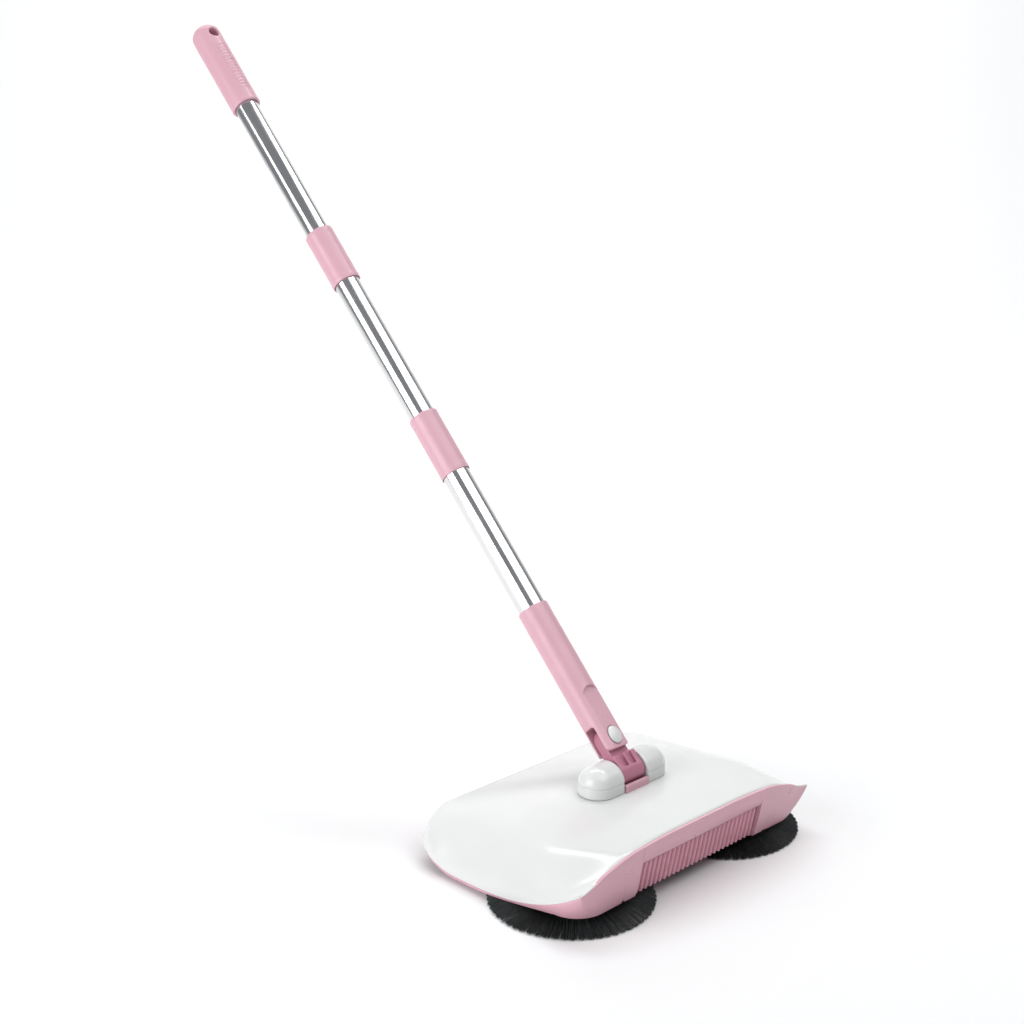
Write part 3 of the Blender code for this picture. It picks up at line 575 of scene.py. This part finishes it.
def arch(y, inset, steps=28):
    """The upper line of the head's section at y, from the right side over the top to the left."""
    front = nose(y)
    crease = crease_x(y) - 0.3 * inset
    tip = tip_x(y) - inset
    low = tip_z(y) - inset * front
    shoulder = shoulder_z(y) - inset
    crown = top_z(y) - inset - shoulder
    right = []
    for i in range(steps + 1):
        angle = math.radians(90 * (1 - i / steps))
        along = math.sin(angle)
        round_roll = math.cos(angle) ** 1.1 - 0.2 * along * math.cos(angle)
        s_curve = (0.5 + 0.5 * math.cos(math.pi * along)) ** 0.85
        share = round_roll + (s_curve - round_roll) * front
        right.append((crease + (tip - crease) * along, y, low + (shoulder - low) * share))
    for k in range(1, 9):
        share = 1 - k / 12
        right.append((crease * share, y, shoulder + crown * (1 - share ** 4)))
    return right + [(-x, y, z) for x, y, z in reversed(right)]


# ---------------------------------------------------------------- stage

CAMERA_HEADING = math.radians(-44.351)
CAMERA_PITCH = math.radians(74.126)
CAMERA_PLACE = (-0.7826, -0.7036, 0.5325)
CAMERA_LENS_MM = 59.77
LIGHT_AIM = (0.0, 0.08, 0.15)


def make_stage():
    """A pale floor that rises behind the object in one curve, square to the camera's heading."""
    reach = 1.7
    bend = 0.9
    profile = [(-2.6, 0.0), (reach, 0.0)]
    profile += [(reach + bend * math.sin(math.radians(a)), bend * (1 - math.cos(math.radians(a))))
                for a in range(6, 91, 6)]
    profile.append((reach + bend, 3.0))
    rows = [[(x, y, z) for y, z in profile] for x in (-3.2, 3.2)]
    mesh = rings_mesh(rows, closed_rings=False)
    mesh.materials.append(studio_floor())
    mesh.shade_smooth()
    floor = bpy.data.objects.new("studio_floor", mesh)
    floor.rotation_euler = (0.0, 0.0, CAMERA_HEADING)
    floor.location.z = -0.0001
    bpy.context.scene.collection.objects.link(floor)


def area_light(name, place, aim, size, power):
    """A rectangular softbox turned towards a point."""
    data = bpy.data.lights.new(name, "AREA")
    data.shape = "RECTANGLE"
    data.size, data.size_y = size
    data.energy = power
    lamp = bpy.data.objects.new(name, data)
    lamp.location = place
    lamp.rotation_euler = (Vector(aim) - Vector(place)).to_track_quat("-Z", "Y").to_euler()
    bpy.context.scene.collection.objects.link(lamp)


def make_camera():
    """The photo's point of view."""
    data = bpy.data.cameras.new("camera")
    data.lens = CAMERA_LENS_MM
    data.sensor_width = 36.0
    camera = bpy.data.objects.new("camera", data)
    camera.location = CAMERA_PLACE
    camera.rotation_euler = (CAMERA_PITCH, 0.0, CAMERA_HEADING)
    bpy.context.scene.collection.objects.link(camera)
    bpy.context.scene.camera = camera
    bpy.context.scene.view_settings.view_transform = "Standard"


def make_lights():
    """A large softbox from above and in front, one from the left, and one for the backdrop."""
    world = bpy.data.worlds.new("studio")
    world.use_nodes = True
    background = world.node_tree.nodes["Background"]
    background.inputs["Color"].default_value = (0.92, 0.95, 1.0, 1.0)
    background.inputs["Strength"].default_value = 0.25
    bpy.context.scene.world = world
    area_light("overhead_softbox", (0.45, -0.85, 1.95), LIGHT_AIM, (2.3, 1.5), 24.0)
    area_light("left_softbox", (-1.55, 0.35, 0.60), LIGHT_AIM, (1.3, 1.1), 20.0)
    area_light("backdrop_light", (0.6, 0.9, 2.2), (1.5, 1.6, 0.4), (2.4, 0.8), 40.0)


# ---------------------------------------------------------------- head

def make_cover():
    """The white shell: a grid over the top with the pocket left open, its underside and its round rims."""
    ys = list(np.linspace(COVER_FRONT, POCKET[0], 20)) + list(np.linspace(*POCKET, 12))[1:]
    ys += list(np.linspace(POCKET[1], COVER_BACK, 28))[1:]
    rim = 0.0007
    ends = [(rim * (1 - math.sin(a)), rim * (1 - math.cos(a))) for a in map(math.radians, (0, 30, 60))]
    runs = [(COVER_FRONT + shift, inset) for inset, shift in ends]
    runs += [(y, 0.0) for y in ys[1:-1]]
    runs += [(COVER_BACK - shift, inset) for inset, shift in reversed(ends)]
    flats = [POCKET_HALF * k for k in (1.0, 0.5, 0.0, -0.5, -1.0)]
    sections = []
    for y, inset in runs:
        outer = with_flats(arch(y, inset), flats)
        inner = with_flats(arch(y, SKIN), flats)
        sections.append(outer + inner[::-1])
    thing = piece("cover_shell", rings_mesh(sections, caps=True), WHITE, "head", ["top_cover"], crease=50)
    open_pocket(thing.data)
    shade(thing.data, 50)


def with_flats(line, flats):
    """The arch with extra points across its level middle."""
    half = len(line) // 2
    y = line[half][1]
    z = line[half][2]
    return line[:half] + [(x, y, z) for x in flats] + line[half:]


def open_pocket(mesh):
    """Takes out the faces over the knuckle and closes the cut between the two skins."""
    bm = bmesh.new()
    bm.from_mesh(mesh)
    doomed = []
    for face in bm.faces:
        c = face.calc_center_median()
        if abs(c.x) < POCKET_HALF and POCKET[0] < c.y < POCKET[1] and abs(face.normal.z) > 0.5:
            doomed.append(face)
    bmesh.ops.delete(bm, geom=doomed, context="FACES")
    loose = [e for e in bm.edges if e.is_boundary]
    bmesh.ops.bridge_loops(bm, edges=loose)
    bmesh.ops.recalc_face_normals(bm, faces=bm.faces)
    bm.to_mesh(mesh)
    bm.free()


def front_y(z):
    """The leaning front face."""
    return HEAD_FRONT + FRONT_SLOPE * (TOP_Z - z)


def foot_at(turn, centre, radius):
    """A point on the round plan corner of the lower edge, from the side (0) to the front (1)."""
    angle = math.radians(90 * turn)
    return centre[0] + radius * math.cos(angle), centre[1] - radius * math.sin(angle)


def seam(y):
    """Half width and height of the surround's border."""
    return tip_x(y) - SEAM_IN, tip_z(y) - SEAM_DROP


def side_stations(steps=44):
    """Border and foot points along the right side, from the back to the front corner."""
    rows = []
    for i in range(steps):
        y = COVER_BACK - 0.0001 + (CORNER_Y - COVER_BACK) * i / steps
        seam_x, seam_z = seam(y)
        rows.append(((seam_x, y, seam_z), (bottom_x(y), y, bottom_z(y)), 0.0))
    return rows


def corner_stations(steps=22):
    """Round the front corner: the border runs on to the tip while the foot follows its own larger arc."""
    low = bottom_z(HEAD_FRONT)
    side_low = bottom_z(CORNER_Y)
    centre = (bottom_x(CORNER_Y) - CORNER_RADIUS, front_y(low) + CORNER_RADIUS)
    rows = []
    for i in range(steps + 1):
        t = i / steps
        y = CORNER_Y + (COVER_FRONT - CORNER_Y) * min(1.0, t / CORNER_TIP_SHARE)
        over = max(0.0, (t - CORNER_TIP_SHARE) / (1.0 - CORNER_TIP_SHARE))
        seam_x, seam_z = seam(y)
        border = (seam_x - 0.0012 * over ** 2, front_y(seam_z) * over + y * (1 - over), seam_z)
        foot_x, foot_y = foot_at(t, centre, CORNER_RADIUS)
        rows.append((border, (foot_x, foot_y, side_low + (low - side_low) * t), t))
    return rows


def front_stations(start_x, foot_start_x, half, grille_top):
    """Along the front from the corner to the middle; the foot jumps up over the grille."""
    notch_x = 0.0705
    notch_half = 0.0013
    notch_height = 0.0014
    level_from = 0.092
    tip_height = seam(COVER_FRONT)[1]
    low = bottom_z(HEAD_FRONT)
    line_xs, line_zs = zip(*[(x, z) for x, _, z in reversed(arch(HEAD_FRONT, 0.0, 40)) if x >= 0.0])
    beside_grille = list(np.linspace(start_x - 0.0005, half + 0.0002, 40))
    over_grille = [half] + list(np.linspace(half - 0.0004, 0.0, 20))
    rows = []
    for x in beside_grille + over_grille:
        z = float(np.interp(x, line_xs, line_zs))
        z += (tip_height - z) * eased(x, (level_from, start_x))
        if x > half:
            share = (start_x - x) / (start_x - half)
            foot_x = foot_start_x + (half - foot_start_x) * share
            notch = max(0.0, 1.0 - abs(foot_x - notch_x) / notch_half)
            foot = (foot_x, front_y(low), low + notch_height * min(1.0, notch * 2))
        else:
            foot = (x, front_y(grille_top), grille_top)
        rows.append(((x, front_y(z), z), foot, 1.0))
    return rows


def band_section(border, foot, front):
    """One closed loop: the outer face, slightly full, a round lower edge, and the inner face."""
    top = Vector(border)
    low = Vector(foot)
    height = (top - low).length
    inward = Vector((-(1.0 - front), front, 0.0)).normalized()
    fullness = 0.0009 * min(1.0, height / 0.015)
    thick = min(0.0030, 0.0012 + 0.25 * height)
    tucked = 0.0030 * front + 0.0044 * (1.0 - front)
    loop = [top + inward * 0.0005 + Vector((0.0, 0.0, 0.00045))]
    for k in range(9):
        t = k / 8
        loop.append(top.lerp(low, 0.03 + t * 0.91) - inward * fullness * math.sin(math.pi * t))
    loop.append(top.lerp(low, 0.98) + inward * 0.0002)
    loop.append(low + inward * 0.0010)
    loop.append(low + inward * thick + Vector((0.0, 0.0, 0.0002)))
    loop.append(top.lerp(low, 0.5) + inward * (thick + 0.0006))
    loop.append(top + inward * tucked + Vector((0.0, 0.0, -0.0026 * (1.0 - front))))
    return [tuple(p) for p in loop]


def make_pink_band():
    """The pink surround in one sweep: up the side, round the corner and across the leaning front."""
    grille_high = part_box("front_grille")[1]
    rows = side_stations() + corner_stations()
    last_border, last_foot, _ = rows[-1]
    rows += front_stations(last_border[0], last_foot[0], grille_high.x + 0.0004, grille_high.z + 0.0004)
    right = [band_section(*row) for row in rows]
    left = [[(-x, y, z) for x, y, z in section] for section in reversed(right[:-1])]
    mesh = rings_mesh(right + left, caps=True)
    piece("pink_surround", mesh, PINK, "head", ["base_housing"], crease=48)


def make_grille():
    """Round upright ribs on a panel that leans with the front."""
    low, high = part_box("front_grille")
    ribs = 26
    rib_height = 0.0014
    panel = 0.0012
    pitch = (high.x - low.x) / ribs
    outline = [(high.x, panel), (low.x, panel), (low.x, 0.0)]
    for rib in range(ribs):
        left = low.x + rib * pitch
        outline.append((left + 0.1 * pitch, 0.0))
        outline += [(left + pitch * (0.42 - 0.30 * math.cos(a)), -rib_height * math.sin(a) ** 0.7)
                    for a in map(math.radians, range(15, 166, 25))]
    outline.append((high.x, 0.0))
    height = high.z - low.z - 0.0006
    middle = Vector((0.0, (low.y + high.y) / 2, (low.z + high.z) / 2))
    turn = Matrix.Translation(middle) @ Matrix.Rotation(math.atan(FRONT_SLOPE), 4, "X")
    mesh = plate(outline, height, 0.0001, turn, 1)
    piece("ribbed_grille", mesh, RECESS_SHADED_PINK, "head", ["front_grille"], crease=50)


def make_back_wall():
    """The pink wall that closes the back round the drawer."""
    bin_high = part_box("dust_bin")[1]
    y = COVER_BACK
    half = bin_high.x + 0.0006
    top = bin_high.z + 0.0006
    side = bottom_x(y) - 0.0010
    foot = bottom_z(y)
    outline = [(x, z) for x, _, z in arch(y, SKIN + 0.0006, 20)]
    outline += [(-side, foot), (-half, foot), (-half, top), (half, top), (half, foot), (side, foot)]
    thick = 0.0030
    turn = Matrix.Translation((0.0, y - thick / 2 - 0.0002, 0.0)) @ Matrix.Rotation(math.radians(90), 4, "X")
    piece("back_wall", plate(outline, thick, 0.0003, turn, 2), PINK, "head", ["base_housing"])


def make_tray():
    """The dust tray: thin walls with rounded rims, and a low sill where the dust comes in."""
    low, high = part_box("dust_bin")
    middle = (low + high) / 2
    half = (high - low) / 2
    wall = 0.0015
    sill_z = 0.0215
    tall = 0.02

    def tray(p):
        body = block(p, middle, half, 0.0008)
        room = block(p, (0.0, middle.y, low.z + wall + tall), (high.x - wall, half.y - wall, tall), 0.0006)
        mouth = block(p, (0.0, low.y, sill_z + tall), (high.x - wall, 0.004, tall), 0.0006)
        return kept(body, -np.minimum(room, mouth), 0.0002)

    margin = Vector((0.001, 0.001, 0.001))
    mesh = skin_of(tray, low - margin, high + margin, 0.00075)
    piece("tray", mesh, TRAY, "drawer", ["dust_bin"])


def make_drawer_front():
    """The drawer's face: a slab with a ledge and, below the ledge, a scooped finger pull."""
    low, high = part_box("drawer_face")
    middle = (low + high) / 2
    half = (high - low) / 2
    slab = (half.x, 0.0015, half.z)
    ledge = (0.019, 0.0024, 0.0014)
    scoop_radius = 0.0052

    def face(p):
        plate_part = block(p, (0.0, low.y + slab[1], middle.z), slab, 0.0009)
        ledge_part = block(p, (0.0, low.y + ledge[1], middle.z + 0.0012), ledge, 0.0007)
        scoop_at = (0.0, low.y + 0.0072, middle.z - scoop_radius)
        scoop = drum(p, scoop_at, 0, scoop_radius, 0.0165, 0.0015)
        return carved(merged(plate_part, ledge_part, 0.0010), scoop, 0.0006)

    margin = Vector((0.001, 0.001, 0.001))
    mesh = skin_of(face, low - margin, high + margin, 0.00045)
    piece("drawer_front", mesh, PINK, "drawer", ["drawer_face"])


def make_hinge_caps():
    """The two glossy humps: upright at the foot, then one round crown that runs out at the side."""
    for name, side in (("left", -1), ("right", 1)):
        low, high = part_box(name + "_hinge_cap")
        inner = min(abs(low.x), abs(high.x))
        outer = max(abs(low.x), abs(high.x))
        y = (low.y + high.y) / 2
        half = (high.y - low.y) / 2
        upright = 0.0070
        ledge = low.z + upright
        crown = high.z - ledge
        straight = 0.0235

        def hump(p):
            q = p * np.array((side, 1.0, 1.0))
            out = np.maximum(q[..., 0] - straight, 0.0) * half / (outer - straight)
            plan = np.hypot(out, q[..., 1] - y)
            rise = np.maximum(q[..., 2] - ledge, 0.0) * half / crown
            solid = np.hypot(plan, rise) - half
            groove = np.maximum(np.abs(q[..., 2] - ledge) - 0.0003, half - 0.0004 - plan)
            solid = carved(solid, groove, 0.0005)
            wall = inner + 0.0002 - q[..., 0]
            return kept(kept(solid, wall, 0.0012), low.z - q[..., 2], 0.0001)

        margin = Vector((0.0012, 0.0012, 0.0012))
        mesh = skin_of(hump, low - margin, high + margin, 0.00042)
        piece(name + "_hump", mesh, WHITE, "head", [name + "_hinge_cap"], crease=60)


def make_pocket_block():
    """The pink rise between the humps, ahead of the knuckle, and the pocket's floor."""
    half = abs(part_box("left_hinge_cap")[1].x) - 0.0004
    front = POCKET[0] + 0.0014

    def rise(p):
        body = block(p, (0.0, front, TOP_Z + 0.0008), (half, 0.0014, 0.0042), 0.0008)
        floor = block(p, (0.0, front + 0.0126, TOP_Z - 0.0030), (half, 0.0140, 0.0006), 0.0003)
        return merged(body, floor, 0.0010)

    low = (-0.0125, POCKET[0] - 0.0015, TOP_Z - 0.0050)
    high = (0.0125, POCKET[1] + 0.0015, TOP_Z + 0.0065)
    piece("pocket_block", skin_of(rise, low, high, 0.0004), PINK, "head")


# ---------------------------------------------------------------- handle

def make_knuckle():
    """The yoke on the tilt pin: a round foot, a ribbed front and the tongue inside the fork."""
    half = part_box("knuckle")[1].x - 0.0001

    def yoke(p):
        foot = drum(p, (0.0, 0.0, 0.0), 0, 0.0080, half, 0.0008)
        front = block(p, (0.0, -0.0012, 0.0050), (half - 0.0006, 0.0066, 0.0060), 0.0009)
        tongue = drum(p, (0.0, 0.0, SWING_Z), 1, 0.0085, 0.0042, 0.0005)
        neck = block(p, (0.0, 0.0, 0.0135), (0.0084, 0.0042, 0.0105), 0.0005)
        solid = merged(merged(foot, front, 0.0010), merged(tongue, neck, 0.0004), 0.0012)
        for x in (-0.0036, 0.0036):
            recess = block(p, (x, -0.0086, 0.0080), (0.0026, 0.0030, 0.0062), 0.0006)
            solid = carved(solid, recess, 0.0006)
        pin = drum(p, (0.0, 0.0, 0.0), 0, 0.0031, 0.03, 0.0002)
        return carved(solid, pin, 0.0002)

    mesh = skin_of(yoke, (-0.0125, -0.0095, -0.0095), (0.0125, 0.0095, SWING_Z + 0.0100), 0.0004)
    piece("knuckle_yoke", mesh, SHADED_DARK_PINK, "joint_knuckle", ["knuckle"], HANDLE)


def make_arm():
    """The pink lower arm: a round sleeve with an arched flat on its front and back above the fork."""
    low, high, radius = handle_span("lower_arm")
    bore = handle_span("lower_tube")[2] + FIT
    socket_from = handle_span("lower_tube")[0] - 0.0016
    flat_y = 0.0088
    flat_half = 0.0074
    arch_z = socket_from - 0.0012 - flat_half
    below = 0.02
    slot_middle = low + (FORK_SLOT_TOP - low - below) / 2
    slot_half = (FORK_SLOT_TOP - low + below) / 2

    def arm(p):
        plan = np.hypot(p[..., 0], p[..., 1]) - (radius - 0.0001)
        ends = np.abs(p[..., 2] - (low + high) / 2) - (high - low) / 2
        body = kept(plan, ends, 0.0012)
        toe = block(p, (0.0, 0.0, low + 0.0800), (0.0112, 0.03, 0.0800), 0.0062)
        body = kept(body, toe, 0.0010)
        panel = np.minimum(drum(p, (0.0, 0.0, arch_z), 1, flat_half, 0.03, 0.001),
                           block(p, (0.0, 0.0, arch_z - 0.03), (flat_half, 0.03, 0.03), 0.001))
        body = carved(body, kept(panel, flat_y - np.abs(p[..., 1]), 0.0003), 0.0006)
        slot = block(p, (0.0, 0.0, slot_middle), (0.03, 0.0045, slot_half), 0.0016)
        body = carved(body, slot, 0.0008)
        socket = drum(p, (0.0, 0.0, socket_from + 0.100), 2, bore, 0.100, 0.0005)
        body = carved(body, socket, 0.0006)
        seat = np.hypot(p[..., 0] / 0.0054, (p[..., 2] - SWING_Z) / 0.0068) * 0.0060 - 0.0060
        seat = kept(seat, 0.0078 - np.abs(p[..., 1]), 0.0003)
        return carved(body, seat, 0.0004)

    mesh = skin_of(arm, (-0.0130, -0.0130, low - 0.0010), (0.0130, 0.0130, high + 0.0010), 0.00045)
    piece("arm_sleeve", mesh, PINK, "arm", ["lower_arm"], HANDLE)


def make_buttons():
    """Oval white caps with a domed top over both ends of the swing pin."""
    profile = [(0.0, 0.0112), (0.0020, 0.01105), (0.0036, 0.0106), (0.0044, 0.0101), (0.0048, 0.0094),
               (0.0048, 0.0080), (0.0, 0.0080)]
    oval = Matrix.Diagonal((1.04, 1.34, 1.0, 1.0))
    for name, quarter in (("front", 90), ("rear", -90)):
        mesh = capped_lathe(profile, 64)
        turn = Matrix.Rotation(math.radians(quarter), 4, "X")
        mesh.transform(Matrix.Translation((0.0, 0.0, SWING_Z)) @ turn @ oval)
        thing = piece(name + "_button", mesh, WHITE, "arm", [name + "_pin_button"], HANDLE, crease=50)
        thing.modifiers.new("Smooth", "SUBSURF").render_levels = 1


def make_tubes():
    """The three steel tubes, each with a rolled end."""
    bead = 0.0002
    ring_pitch = 0.004
    for node, body, wall in (("lower_tube", "arm", 0.0004), ("middle_tube", "middle_pole", 0.0006),
                             ("upper_tube", "upper_pole", 0.0006)):
        low, high, radius = handle_span(node)
        runs = int((high - low) / ring_pitch)
        profile = [(radius - bead, high)]
        profile += [(radius, high - bead - (high - low - 2 * bead) * i / runs) for i in range(runs + 1)]
        profile += [(radius - bead, low), (radius - wall, low), (radius - wall, high)]
        piece(node + "_steel", lathe(profile), TUBE_STEEL, body, [node], HANDLE, crease=40)


def make_collars():
    """Twist collars: a faintly waisted sleeve with a raised rim at each end."""
    rim = 0.0030
    waist_from = 0.0042
    waist = 0.00015
    tubes = {"lower": ("lower_tube", "middle_tube"), "upper": ("middle_tube", "upper_tube")}
    for name, (outside, inside) in tubes.items():
        low, high, radius = handle_span(name + "_collar")
        _, tube_end, tube_radius = handle_span(outside)
        tube_end += 0.0004
        wide = tube_radius + FIT
        bore = handle_span(inside)[2] + FIT
        room = bore + 0.0008
        run = high - low - 2 * waist_from
        profile = [(radius - 0.0011, high), (radius - 0.0001, high), (radius, high - rim)]
        profile += [(radius - waist, high - waist_from - run * i / 12) for i in range(13)]
        profile += [(radius, low + rim), (radius - 0.0001, low), (wide, low), (wide, tube_end),
                    (room, tube_end + 0.0002), (room, high - 0.0040), (bore, high - 0.0040), (bore, high)]
        mesh = lathe(softened(profile, 0.0006, 3), 120)
        piece(name + "_twist_collar", mesh, PINK, name + "_lock", [name + "_collar"], HANDLE, crease=45)


def make_lock_sleeves():
    """The squeezed rings inside the collars."""
    for name, body in (("lower", "arm"), ("upper", "middle_pole")):
        low, high, radius = handle_span(name + "_lock_sleeve")
        inner = radius - 0.0006
        profile = [(radius, high), (radius, low), (inner, low), (inner, high)]
        mesh = lathe(softened(profile, 0.0002, 2), 72)
        piece(name + "_wedge_ring", mesh, DARK, body, [name + "_lock_sleeve"], HANDLE)


def make_grip():
    """The domed grip: a hanging hole through it, and rows of anti-slip dots on its front and back."""
    low, high, radius = handle_span("grip")
    _, tube_end, tube_radius = handle_span("upper_tube")
    tube_end += FIT
    bore = tube_radius + FIT
    stem_radius = radius - 0.0003
    shoulder = high - 0.0098
    dot_radius = 0.00065
    dot_rows = np.arange(low + 0.012, high - 0.024, 0.0030)
    dots = [(x, z) for x in (-0.0036, -0.0012, 0.0012, 0.0036) for z in dot_rows]

    def grip(p):
        stem = np.hypot(p[..., 0], p[..., 1]) - stem_radius
        body = kept(stem, low - p[..., 2], 0.0012)
        over = np.maximum(p[..., 2] - shoulder, 0.0) * stem_radius / (high - shoulder)
        dome = np.sqrt(p[..., 0] ** 2 + p[..., 1] ** 2 + over ** 2)
        body = kept(body, dome - stem_radius, 0.0006)
        hole = drum(p, (0.0, 0.0, HANG_HOLE_Z), 1, 0.0040, 0.03, 0.0005)
        body = carved(body, hole, 0.0014)
        socket = drum(p, (0.0, 0.0, low), 2, bore, tube_end - low, 0.0003)
        body = carved(body, socket, 0.0005)
        for x, z in dots:
            near = np.sqrt((p[..., 0] - x) ** 2 + (p[..., 2] - z) ** 2) - dot_radius
            stud = np.maximum(near, stem - 0.00028)
            body = merged(body, np.maximum(stud, 0.004 - np.abs(p[..., 1])), 0.0003)
        return body

    mesh = skin_of(grip, (-0.0130, -0.0130, low - 0.0010), (0.0130, 0.0130, high + 0.0010), 0.00042)
    mesh.transform(HANDLE)
    piece("hand_grip", mesh, PINK, "upper_pole", ["grip"])


# ---------------------------------------------------------------- brushes and running gear

def bristle(bm, start, middle, end, thickness):
    """One filament: a three-sided tapering rod through three points."""
    spine = []
    for k in range(5):
        t = k / 4
        spine.append(start * (1 - t) ** 2 + middle * 2 * t * (1 - t) + end * t ** 2)
    rings = []
    for k, point in enumerate(spine):
        ahead = (spine[min(k + 1, 4)] - spine[max(k - 1, 0)]).normalized()
        side = ahead.cross(Vector((0.0, 0.0, 1.0))).normalized()
        up = side.cross(ahead)
        radius = thickness * (1.0 - 0.35 * k / 4) / 2
        rings.append([bm.verts.new(point + (side * math.cos(a) + up * math.sin(a)) * radius)
                      for a in (math.radians(90), math.radians(210), math.radians(330))])
    for near, far in zip(rings, rings[1:]):
        for i in range(3):
            j = (i + 1) % 3
            bm.faces.new((near[i], near[j], far[j], far[i]))
    bm.faces.new(rings[0][::-1])
    bm.faces.new(rings[-1])


def make_brush(name, seed):
    """A hub and a skirt of separate tufts whose ends make a scalloped rim."""
    low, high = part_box(name + "_bristles")
    centre = (low + high) / 2
    axis = Matrix.Translation((centre.x, centre.y, 0.0))
    root_width = 0.0010
    tip_width = 0.0025
    chance = random.Random(seed)
    bm = bmesh.new()
    for tuft in range(TUFTS):
        heading = 2 * math.pi * (tuft + 0.5) / TUFTS
        lean = chance.uniform(-0.004, 0.004)
        for strand in range(BRISTLES_PER_TUFT):
            across = 2 * (strand + chance.uniform(0.1, 0.9)) / BRISTLES_PER_TUFT - 1
            layer = chance.uniform(0.0, 1.0)
            root_turn = heading + across * root_width / BRUSH_HUB_R
            tip_turn = heading + lean + across * tip_width / BRUSH_R
            reach = BRUSH_R - 0.0009 * across ** 2 - chance.uniform(0.0, 0.0012)
            start = Vector((math.cos(root_turn), math.sin(root_turn), 0.0)) * (BRUSH_HUB_R - 0.0006)
            start.z = 0.0080 + 0.0024 * layer
            end = Vector((math.cos(tip_turn), math.sin(tip_turn), 0.0)) * reach
            end.z = 0.0006 + 0.0016 * layer
            bend = (start + end) / 2
            bend.z = 0.0050 + 0.0030 * layer
            bristle(bm, start, bend, end, chance.uniform(0.00042, 0.00060))
    piece(name + "_tufts", to_mesh(bm), BRISTLE, name + "_brush", [name + "_bristles"], axis, crease=80)
    make_hub(name, axis)


def make_hub(name, axis):
    """The disc that holds the tufts, stepped above and hollow below."""
    profile = [(0.0034, 0.0116), (0.0070, 0.0116), (0.0082, 0.0108), (0.0165, 0.0108), (0.0175, 0.0116),
               (0.0198, 0.0112), (0.0204, 0.0104), (0.0204, 0.0080), (0.0196, 0.0072), (0.0160, 0.0070),
               (0.0140, 0.0082), (0.0080, 0.0082), (0.0066, 0.0070), (0.0034, 0.0070)]
    mesh = lathe(softened(profile, 0.0004, 3))
    piece(name + "_hub", mesh, DARK, name + "_brush", [name + "_brush_hub"], axis)


def across_x(centre):
    """Puts a turned piece's axis along X at a centre."""
    return Matrix.Translation(centre) @ Matrix.Rotation(math.radians(90), 4, "Y")


def make_wheel(name):
    """A drive wheel: a grooved tyre with cross cuts on a dished rim."""
    low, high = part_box(name + "_tyre")
    half = (high.x - low.x) / 2
    radius = (high.z - low.z) / 2
    tyre_inner = 0.0176
    cuts = 36
    turn = across_x((low + high) / 2)
    tread = [(radius - 0.0010, half), (radius, half - 0.0012), (radius, 0.0006), (radius - 0.0007, 0.0003),
             (radius - 0.0007, -0.0003), (radius, -0.0006), (radius, 0.0012 - half),
             (radius - 0.0010, -half), (tyre_inner, -half), (tyre_inner, half)]

    def blocks(r, _, angle):
        groove = 0.5 + 0.5 * math.cos(angle * cuts)
        return r - 0.0004 * (groove > 0.85) * (r > radius - 0.0002)

    mesh = lathe(softened(tread, 0.0003, 2), 8 * cuts, blocks)
    piece(name + "_tread", mesh, RUBBER, "axle", [name + "_tyre"], turn, crease=50)
    rim = [(0.0174, half), (0.0174, -half), (0.0140, -half), (0.0130, -0.0010), (0.0060, -0.0010),
           (0.0055, -half), (0.0033, -half), (0.0033, half), (0.0055, half), (0.0060, 0.0010),
           (0.0130, 0.0010), (0.0140, half)]
    mesh = lathe(softened(rim, 0.0005, 3))
    piece(name + "_rim", mesh, SHADED_DARK_PINK, "axle", [name + "_drive_wheel"], turn)


def make_roller(name):
    """A small plain roller at the back, a little recessed round its pin."""
    low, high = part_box(name + "_rear_roller")
    half = (high.x - low.x) / 2
    face = half - 0.0012
    profile = [(0.0080, face), (0.0080, -face), (0.0070, -half), (0.0030, -half), (0.0024, -face),
               (0.0018, -face), (0.0018, face), (0.0024, face), (0.0030, half), (0.0070, half)]
    mesh = lathe(softened(profile, 0.0004, 3), 72)
    turn = across_x((low + high) / 2)
    piece(name + "_back_roller", mesh, DARK, name + "_roller", [name + "_rear_roller"], turn)


def dress_frame():
    """Gives the frame's own nodes that stay in view their worked materials."""
    finish_of = {slot: material for material, slot in SLOT_OF.items()}
    for row in frame["record"]["subparts"]:
        node = NODES[row["node"]]
        node.data.materials.clear()
        node.data.materials.append(finish_of[row["material_slot"]])


make_camera()
make_stage()
make_lights()
dress_frame()
make_cover()
make_pink_band()
make_grille()
make_back_wall()
make_tray()
make_drawer_front()
make_hinge_caps()
make_pocket_block()
make_knuckle()
make_arm()
make_buttons()
make_tubes()
make_collars()
make_lock_sleeves()
make_grip()
make_brush("left", seed=6)
make_brush("right", seed=8)
for side in ("left", "right"):
    make_wheel(side)
    make_roller(side)
